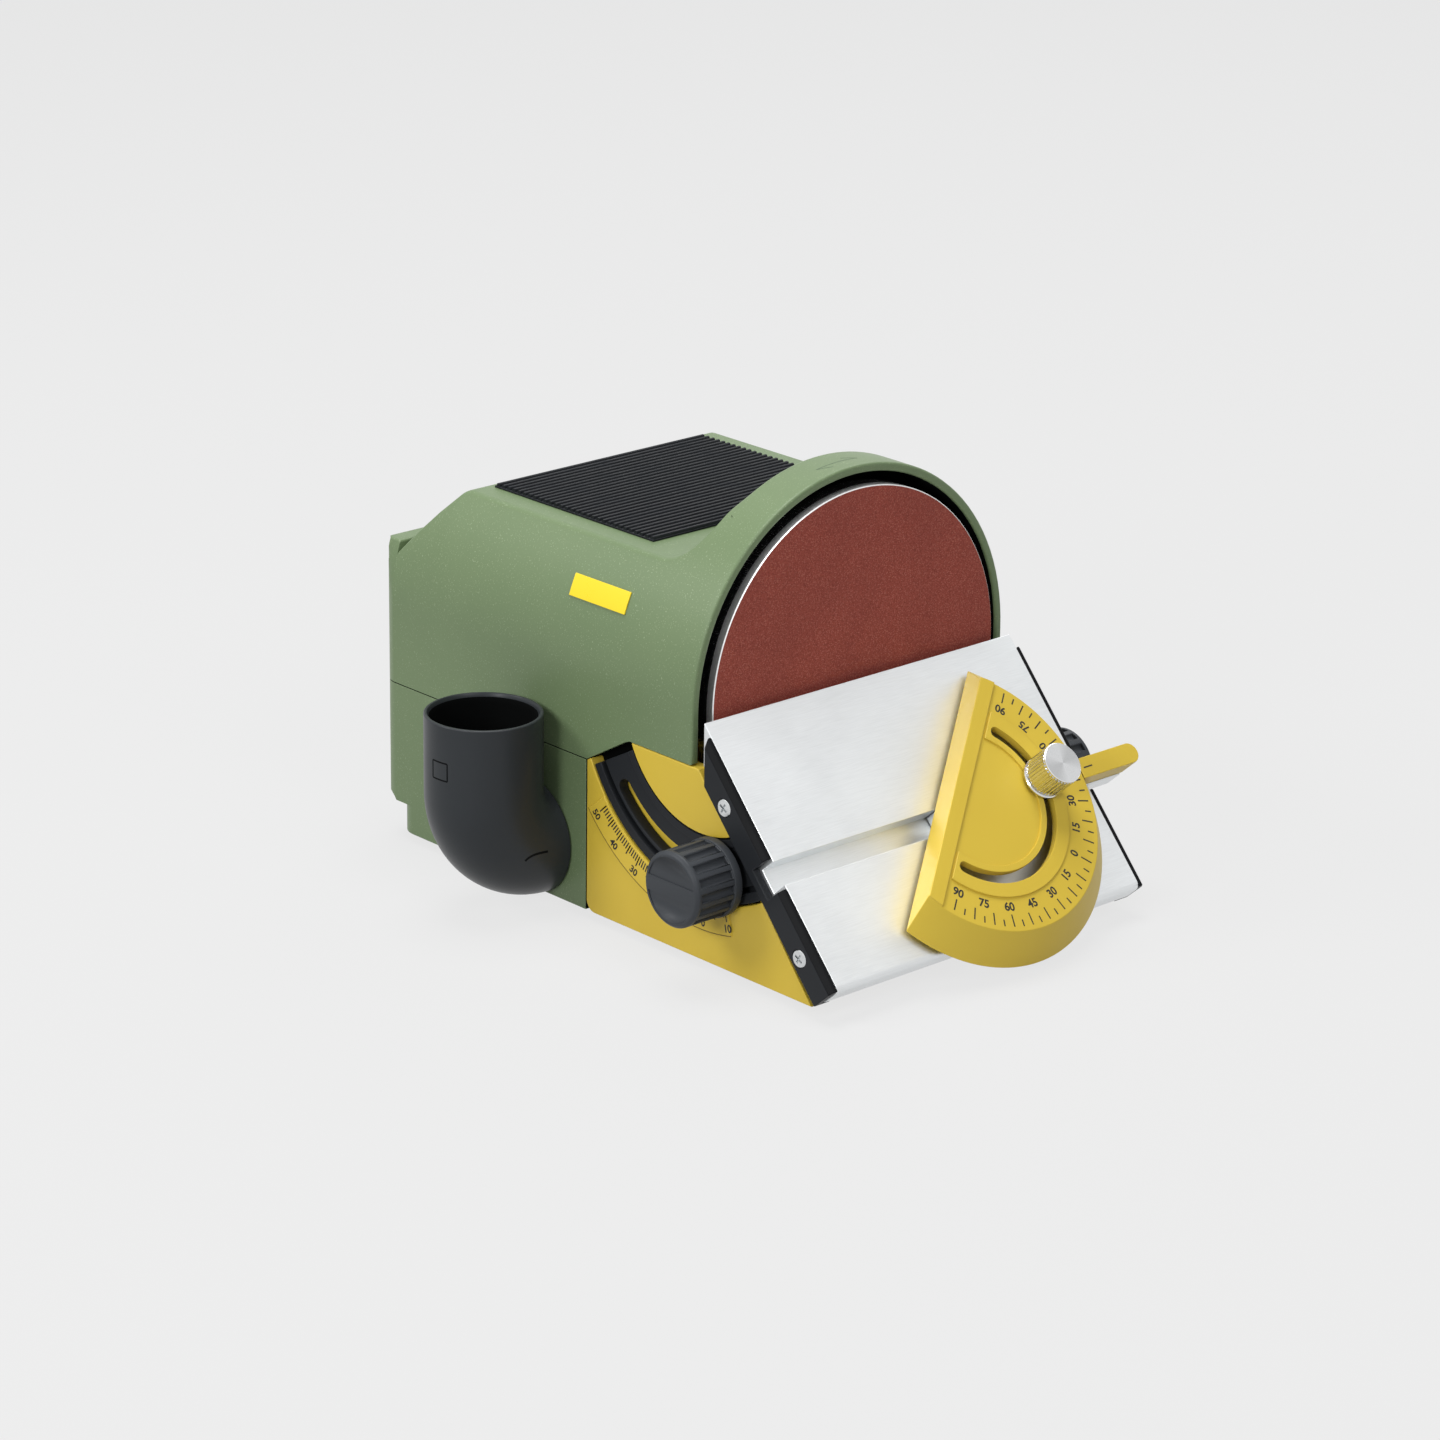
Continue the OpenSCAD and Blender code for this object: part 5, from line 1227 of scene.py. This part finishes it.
@dataclass
class DustElbow:
    """Swivelling dust outlet: a spigot, a quarter bend and an open upright pipe."""

    radius: float = 19.5
    bore: float = 17.8
    spigot_r: float = 15.5
    spigot_bore: float = 13.8
    bend: float = 21.0
    centre: tuple[float, float, float] = (-69.7, 79.0, 43.0)
    inner_x: float = -60.4
    mouth_z: float = 69.6
    lip: float = 0.5
    chamfer: float = 1.2
    steps: int = 80
    square_rise: Point = (8.0, 14.0)
    square_swing: Point = (-13.4, 6.4)
    square_line: float = 0.5
    bow: tuple[Point, ...] = ((42.4, -69.5), (39.3, -80.1), (28.2, -88.5))
    bow_line: float = 0.8

    def ring(self, turn: float, along: float, radius: float) -> list[Vector]:
        """One ring of the pipe.

        Args:
            turn: Degrees round the bend, 0 at the housing and 90 at the upright pipe.
            along: Millimetres before the bend, if negative, or after it.
            radius: The ring's radius.

        Returns:
            Its points.
        """
        shares = [360 * i / self.steps for i in range(self.steps)]
        return [self.surface(turn, along, swing, radius - self.radius) for swing in shares]

    def surface(self, turn: float, along: float, swing: float, lift: float) -> Vector:
        """A point on the outer skin, swing degrees round the pipe from the outside of the bend."""
        angle, round_it = math.radians(turn), math.radians(swing)
        outward = Vector((-math.sin(angle), 0, -math.cos(angle)))
        middle = Vector(self.centre) + outward * self.bend + Vector((-math.cos(angle), 0, math.sin(angle))) * along
        return middle + (outward * math.cos(round_it) + Vector((0, math.sin(round_it), 0))) * (self.radius + lift)

    def line(self, points: Sequence[tuple[float, float, float]], width: float) -> Piece:
        """A thin near-black line over the skin: painted shade along a moulded edge.

        Args:
            points: Turn, along and swing of each point.
            width: The line's width.

        Returns:
            The line's object.
        """
        rows = []
        for i, point in enumerate(points):
            here = self.surface(*point, 0.0)
            after, before = points[min(i + 1, len(points) - 1)], points[max(i - 1, 0)]
            ahead = self.surface(*after, 0.0) - self.surface(*before, 0.0)
            out = (self.surface(*point, 1.0) - here).normalized()
            across = ahead.cross(out).normalized()
            rows.append([here + across * side + out * lift for side, lift in mark_section(width, 0.0)])
        return tube("elbow_shade_line", rows, MOULD_EDGE_SHADE)

    def in_bore(self, centre: Vector, _: Vector) -> bool:
        """Whether a face lies down in the upright pipe's bore, which takes painted shade."""
        reach = math.hypot(centre.x - self.centre[0] + self.bend, centre.y - self.centre[1])
        return reach < self.bore + 0.1 and self.centre[2] - 6 < centre.z < self.mouth_z - self.chamfer + 0.1

    def build(self) -> None:
        """Sweeps the pipe, gives its bore painted shade and lays its lines of painted shade along moulded edges on
        it.
        """
        upright = self.mouth_z - self.centre[2]
        inside = self.centre[0] - self.inner_x
        stations = [(0, inside, self.spigot_r), (0, 0, self.spigot_r)]
        stations += [(0, 0, self.radius - 0.5), (0, 0.5, self.radius)]
        stations += [(turn, 0, self.radius) for turn in range(4, 91, 4)]
        stations += [(90, upright * share, self.radius) for share in (0.1, 0.4, 0.7, 0.9)]
        for across, rise in (polar(self.lip, turn) for turn in (0, 30, 60, 90)):
            stations.append((90, upright - self.lip + rise, self.radius - self.lip + across))
        stations += [(90, upright, self.bore + self.chamfer * 0.55), (90, upright - self.chamfer, self.bore)]
        stations += [(90, upright * share, self.bore) for share in (0.88, 0.8, 0.4, 0.0)]
        taper = (self.bore - self.spigot_bore) / 90
        stations += [(turn, 0, self.spigot_bore + taper * turn) for turn in range(80, -1, -8)]
        stations.append((0, inside, self.spigot_bore))
        rings = [self.ring(*station) for station in stations]
        pipe = Shape()
        pipe.grid(rings, close_rows=True, close_columns=True)
        made = pipe.weld(0.002).piece("dust_elbow_pipe", ELBOW_BLACK)
        # Painted shade: the bore's faces are coloured near black.
        tint(made, PAINTED_SHADE_BLACK, self.in_bore)
        fit(even_normals(made), Body.ELBOW, Slot.BLACK, "dust_elbow")
        # Lines of painted shade along the elbow's moulded edges: a square and a bow.
        (low, high), (left, right) = self.square_rise, self.square_swing
        square = [Vector((90, *spot)) for spot in ((low, left), (low, right), (high, right), (high, left))]
        marks = []
        for start, end in zip(square, square[1:] + square[:1]):
            marks.append(self.line([tuple(start.lerp(end, i / 6)) for i in range(7)], self.square_line))
        first, middle, last = (Vector((turn, 0, swing)) for turn, swing in self.bow)
        bow = []
        for share in (i / 10 for i in range(11)):
            weights = (1 - share) * (1 - 2 * share), 4 * share * (1 - share), share * (2 * share - 1)
            bow.append(tuple(first * weights[0] + middle * weights[1] + last * weights[2]))
        marks.append(self.line(bow, self.bow_line))
        fit(join("elbow_edge_shade_lines", marks), Body.ELBOW, Slot.BLACK)


@dataclass
class AngleStop:
    """The angle stop: a rail in the groove, the index bar, the protractor and its clamp knob."""

    stop_x: float = 11.2
    groove_s: float = 53.5
    turn_deg: float = -45.0
    scale_z: float = 11.5
    tick_r: Point = (40.2, 44.4)
    short_r: float = 42.1
    number_r: float = 37.6
    number_h: float = 2.9
    line: float = 0.48
    index_z: float = 9.5
    index_r: Point = (50.1, 54.0)
    knob_x: float = 27.6
    knob_z: float = 12.5
    knob_h: float = 12.5
    knob_r: float = 7.3
    ribs: int = 36

    def place(self) -> Matrix:
        """The stop's frame on the table: x along the groove, z off the table."""
        return TABLE_PLACE @ Matrix.Translation((self.stop_x, -self.groove_s, 0))

    def scale_place(self) -> Matrix:
        """The protractor's scale plane, its zero along x."""
        turn = Matrix.Rotation(math.radians(self.turn_deg), 4, "Z")
        return self.place() @ turn @ Matrix.Translation((0, 0, self.scale_z))

    def build_scale(self) -> None:
        """Prints the protractor's ticks and numbers."""
        place = self.scale_place()
        parts = []
        for inner, first, count in ((self.tick_r[0], -90, 19), (self.short_r, -85, 18)):
            parts.append(ticks("protractor_tick", INK, (inner, self.tick_r[1]), self.line, place, count, first, 10))
        for value in range(-90, 91, 15):
            parts.append(number(value, self.number_h, place, value, self.number_r))
        fit(join("protractor_scale", parts), Body.PROTRACTOR, Slot.BLACK)

    def build_knob(self) -> None:
        """Turns the thumb knob with its polished top and flange, and knurls it."""
        place = self.place() @ Matrix.Translation((self.knob_x, 0, self.knob_z))
        rim, top = self.knob_r - 0.6, self.knob_h
        body = Shape()
        flange = [(2.2, 0.05), (6.7, 0.05), (7.0, 0.2), (7.2, 0.55), (7.2, 0.95), (6.9, 1.35), (6.1, 1.5), (5.9, 1.7),
                  (6.1, 1.95)]
        crown = [(0.0, -1.1), (-0.1, -0.85), (0.0, -0.7), (0.35, -0.55), (0.4, -0.2), (0.15, 0.0)]
        profile = flange + [(rim - 0.2, 2.05), (rim, 2.3)] + [(rim + x, top + z) for x, z in crown]
        body.revolve(profile, place, 96)
        made = even_normals(body.weld(0.002).piece("thumb_knob_body", KNOB_ALLOY))
        fit(made, Body.STOP_KNOB, Slot.ALUMINIUM, "stop_knob")
        rib = Shape()
        length = top - 1.35 - 2.35
        bead = [polar(1.0, turn) for turn in (-90, -45, 0, 45, 90)]
        rib.prism([(rim - 0.06 + 0.6 * x, 0.38 * y) for x, y in bead], length, Matrix.Translation((0, 0, 2.4)))
        unit = rib.weld().piece("thumb_knob_knurl", KNOB_ALLOY)
        ribs = REPEAT.run(unit, KNOB_ALLOY, self.ribs, turn=360 / self.ribs, place=place)
        fit(ribs, Body.STOP_KNOB, Slot.ALUMINIUM)
        cap = Shape()
        dish = [(rim + 0.15, top - 0.01), (rim - 0.3, top - 0.02), (4.0, top - 0.05), (0.01, top - 0.12)]
        cap.revolve(dish, place, 96)
        centre = place.translation
        # The knob's face takes the painted sheen sectors.
        face = Turned("turned_knob_face_painted_sheen", (0.86, 0.87, 0.88), 0.2, tuple(centre), (TILT, 0.0, 0.0), sectors=0.5)
        fit(cap.weld(0.02).piece("thumb_knob_face", face), Body.STOP_KNOB, Slot.ALUMINIUM)

    def build(self) -> None:
        """Builds the rail, the bar, the protractor and the knob."""
        soften("slide_rail", RAIL_ALLOY, Body.SLIDE, Slot.ALUMINIUM, 0.3)
        soften("index_bar", YELLOW, Body.SLIDE, Slot.YELLOW, 0.3)
        soften("protractor", YELLOW, Body.PROTRACTOR, Slot.YELLOW, 0.28)
        level = self.place() @ Matrix.Translation((0, 0, self.index_z))
        mark = slab(self.index_r, (-self.line / 2, self.line / 2), 0.04, level)
        fit(mark.piece("index_line", INK), Body.SLIDE, Slot.BLACK)
        paint(ZINC, "index_bar_screws", "protractor_pivot")
        paint(STEEL, "stop_stud")
        self.build_scale()
        self.build_knob()


@dataclass
class Controls:
    """Switch and speed dial on the right wall, and the cord gland at the rear."""

    wall_x: float = 69.4
    dial: Point = (92.0, 34.0)
    dial_x: float = 87.1
    tick_r: Point = (14.4, 16.4)
    low_turn: float = 230.0

    def build_marks(self) -> None:
        """Prints the dial's ticks and its pointer."""
        place = basis((self.wall_x - 0.01, *self.dial), (0, 1, 0), (0, 0, 1))
        ring = ticks("dial_ticks", PALE_INK, self.tick_r, 0.5, place, 11, self.low_turn, -28, 0.05)
        fit(ring, Body.HOUSING, Slot.BLACK)
        pointer = Shape()
        pointer.prism([(4.6, -0.5), (10.2, -0.35), (10.2, 0.35), (4.6, 0.5)], 0.05,
                      basis((self.dial_x - 0.02, *self.dial), (0, 1, 0), (0, 0, 1))
                      @ Matrix.Rotation(math.radians(self.low_turn), 4, "Z"))
        fit(pointer.weld().piece("dial_pointer", PALE_INK), Body.DIAL, Slot.BLACK)

    def goes_round(self, edge: Any) -> bool:
        """Whether an edge of the dial goes round it, not along its grips."""
        return abs(edge.verts[0].co.x - edge.verts[1].co.x) < 0.1

    def build(self) -> None:
        """Builds the controls and the gland."""
        soften("switch_body", BLACK, Body.HOUSING, Slot.BLACK, 0.3)
        soften("switch_rocker", RED, Body.ROCKER, Slot.RED, 0.3)
        soften("speed_dial", KNOB_BLACK, Body.DIAL, Slot.BLACK, 0.25, keep=self.goes_round)
        soften("cord_gland", BLACK, Body.HOUSING, Slot.BLACK, 0.4)
        self.build_marks()


class Internals:
    """Finishes of the motor, the board, the leads and the inner fasteners."""

    FINISHES: dict[Finish, tuple[str, ...]] = {
        STEEL: ("motor_can", "motor_plate", "plate_screws", "motor_screws", "front_bearing", "rear_bearing",
                "armature_core", "housing_screws", "base_screws", "dial_shaft"),
        COPPER: ("armature_windings", "commutator"),
        CAST_ALLOY: ("motor_front_bell", "motor_rear_bell"),
        ZINC: ("clamp_nuts", "dial_nut", "dial_potentiometer"),
        BLACK: ("cooling_fan", "dust_duct"),
        MAGNET: ("motor_magnets",),
        PHENOLIC: ("brush_holders",),
        CARBON: ("carbon_brushes",),
        BOARD: ("control_board",),
        CERAMIC: ("board_parts",),
    }

    def build(self) -> None:
        """Dresses every inner node."""
        for finish, nodes in self.FINISHES.items():
            paint(finish, *nodes)
        for node, finish in LEADS.items():
            paint(finish, node)
        LOG.info("inner nodes dressed")


@dataclass
class Stage:
    """Floor, light and camera."""

    LIGHTS: ClassVar = (("key", (-1.2, 0.75, 1.0), 0.6, 11), ("left", (-1.7, -0.45, 0.75), 0.5, 12),
                        ("front", (-0.3, -1.6, 1.4), 1.0, 13), ("top", (0.0, 0.3, 1.9), 1.2, 31),
                        ("rim", (1.2, 0.7, 1.3), 0.9, 5))
    camera_mm: tuple[float, float, float] = (-1009.06, -1029.43, 578.43)
    back: tuple[float, float, float] = (-0.63895, -0.69262, 0.33474)
    roll_deg: float = 0.85
    lens_mm: float = 117.79
    floor_grey: float = 0.81
    shadow_share: float = 0.08
    bounce_grey: float = 0.42
    floor_half: float = 6000.0
    aim: tuple[float, float, float] = (0.0, 0.05, 0.06)
    surround: float = 0.16
    surround_tone: Colour = (0.95, 0.97, 1.0)

    def build_camera(self) -> None:
        """Sets the camera where the photograph was taken from."""
        data = bpy.data.cameras.new("camera")
        data.lens, data.sensor_width, data.sensor_fit = self.lens_mm, 36.0, "HORIZONTAL"
        data.clip_start, data.clip_end = 0.05, 50.0
        back = Vector(self.back).normalized()
        right = Vector((0, 0, 1)).cross(back).normalized()
        up = back.cross(right)
        roll = math.radians(self.roll_deg)
        across = right * math.cos(roll) + up * math.sin(roll)
        above = up * math.cos(roll) - right * math.sin(roll)
        camera = add_object("camera", data)
        turned = Matrix((across, above, back)).transposed().to_4x4()
        camera.matrix_world = Matrix.Translation(Vector(self.camera_mm) * MM) @ turned
        bpy.context.scene.camera = camera

    def build_light(self, name: str, place: Sequence[float], size: float, power: float) -> None:
        """Adds one soft box that faces the machine, its place and size in metres and its power in watts."""
        data = bpy.data.lights.new(name, "AREA")
        data.shape, data.size, data.energy = "DISK", size, power
        lamp = add_object(name, data)
        lamp.location = place
        lamp.rotation_euler = (Vector(self.aim) - Vector(place)).to_track_quat("-Z", "Y").to_euler()

    def build_floor(self) -> None:
        """A pale floor that the camera and mirrors see as even pale grey, with the machine's shadow on it."""
        shape = Shape()
        corners = ((-1, -1), (1, -1), (1, 1), (-1, 1))
        shape.face([Vector((x, y, 0)) * self.floor_half for x, y in corners])
        graph = Graph("pale_floor")
        tone = graph.noise(400, 2)
        grey, dull = (self.bounce_grey,) * 3, (self.bounce_grey * 0.98,) * 3
        graph.shade({"Base Color": graph.mix(tone * 0.02, grey, dull), "Roughness": 0.9, "Specular IOR Level": 0.1})
        lit = self.floor_grey * self.shadow_share
        even = graph.node("ShaderNodeBsdfPrincipled", {}, {
            "Base Color": (lit,) * 3, "Roughness": 0.9, "Specular IOR Level": 0.0,
            "Emission Color": (self.floor_grey - lit,) * 3, "Emission Strength": 1.0})
        path = graph.node("ShaderNodeLightPath")
        seen = Value(graph, path.outputs["Is Camera Ray"]) + Value(graph, path.outputs["Is Glossy Ray"])
        seen = seen + Value(graph, path.outputs["Is Transmission Ray"])
        blend = graph.node("ShaderNodeMixShader", {}, {0: seen, 1: graph.shader.outputs[0], 2: even.outputs[0]})
        graph.put(graph.output.inputs["Surface"], blend.outputs[0])
        floor = shape.piece("floor", INK)
        floor.data.materials.clear()
        floor.data.materials.append(graph.material)

    def build_world(self) -> None:
        """A plain pale surround."""
        world = bpy.data.worlds.new("studio")
        bpy.context.scene.world = world
        world.use_nodes = True
        tree = Tree(world.node_tree)
        path = tree.node("ShaderNodeLightPath").outputs
        seen = tree.node("ShaderNodeMath", {"operation": "MAXIMUM"}, {
            0: path["Is Camera Ray"], 1: path["Is Glossy Ray"]})
        light = tree.node("ShaderNodeBackground", {}, {0: self.surround_tone, 1: self.surround})
        view = tree.node("ShaderNodeBackground", {}, {0: (self.floor_grey,) * 3, 1: 1.0})
        blend = tree.node("ShaderNodeMixShader", {}, {0: seen.outputs[0], 1: light.outputs[0], 2: view.outputs[0]})
        tree.node("ShaderNodeOutputWorld", {}, {0: blend.outputs[0]})

    def build(self) -> None:
        """Builds the whole stage."""
        self.build_camera()
        self.build_floor()
        self.build_world()
        for light in self.LIGHTS:
            self.build_light(*light)
        bpy.context.scene.view_settings.view_transform = "Standard"


def main() -> None:
    """Builds the stage and every sub-assembly in order."""
    logging.basicConfig(level=logging.INFO, format="%(name)s: %(message)s")
    Stage().build()
    UpperShell().build()
    Casing().build()
    for side in (-1, 1):
        TiltScale().build(side)
    Disc().build()
    Table().build()
    ClampKnob(-1, 90.0).build()
    ClampKnob(1, 90.0).build()
    DustElbow().build()
    AngleStop().build()
    Controls().build()
    Internals().build()


if __name__ == "__main__":
    main()
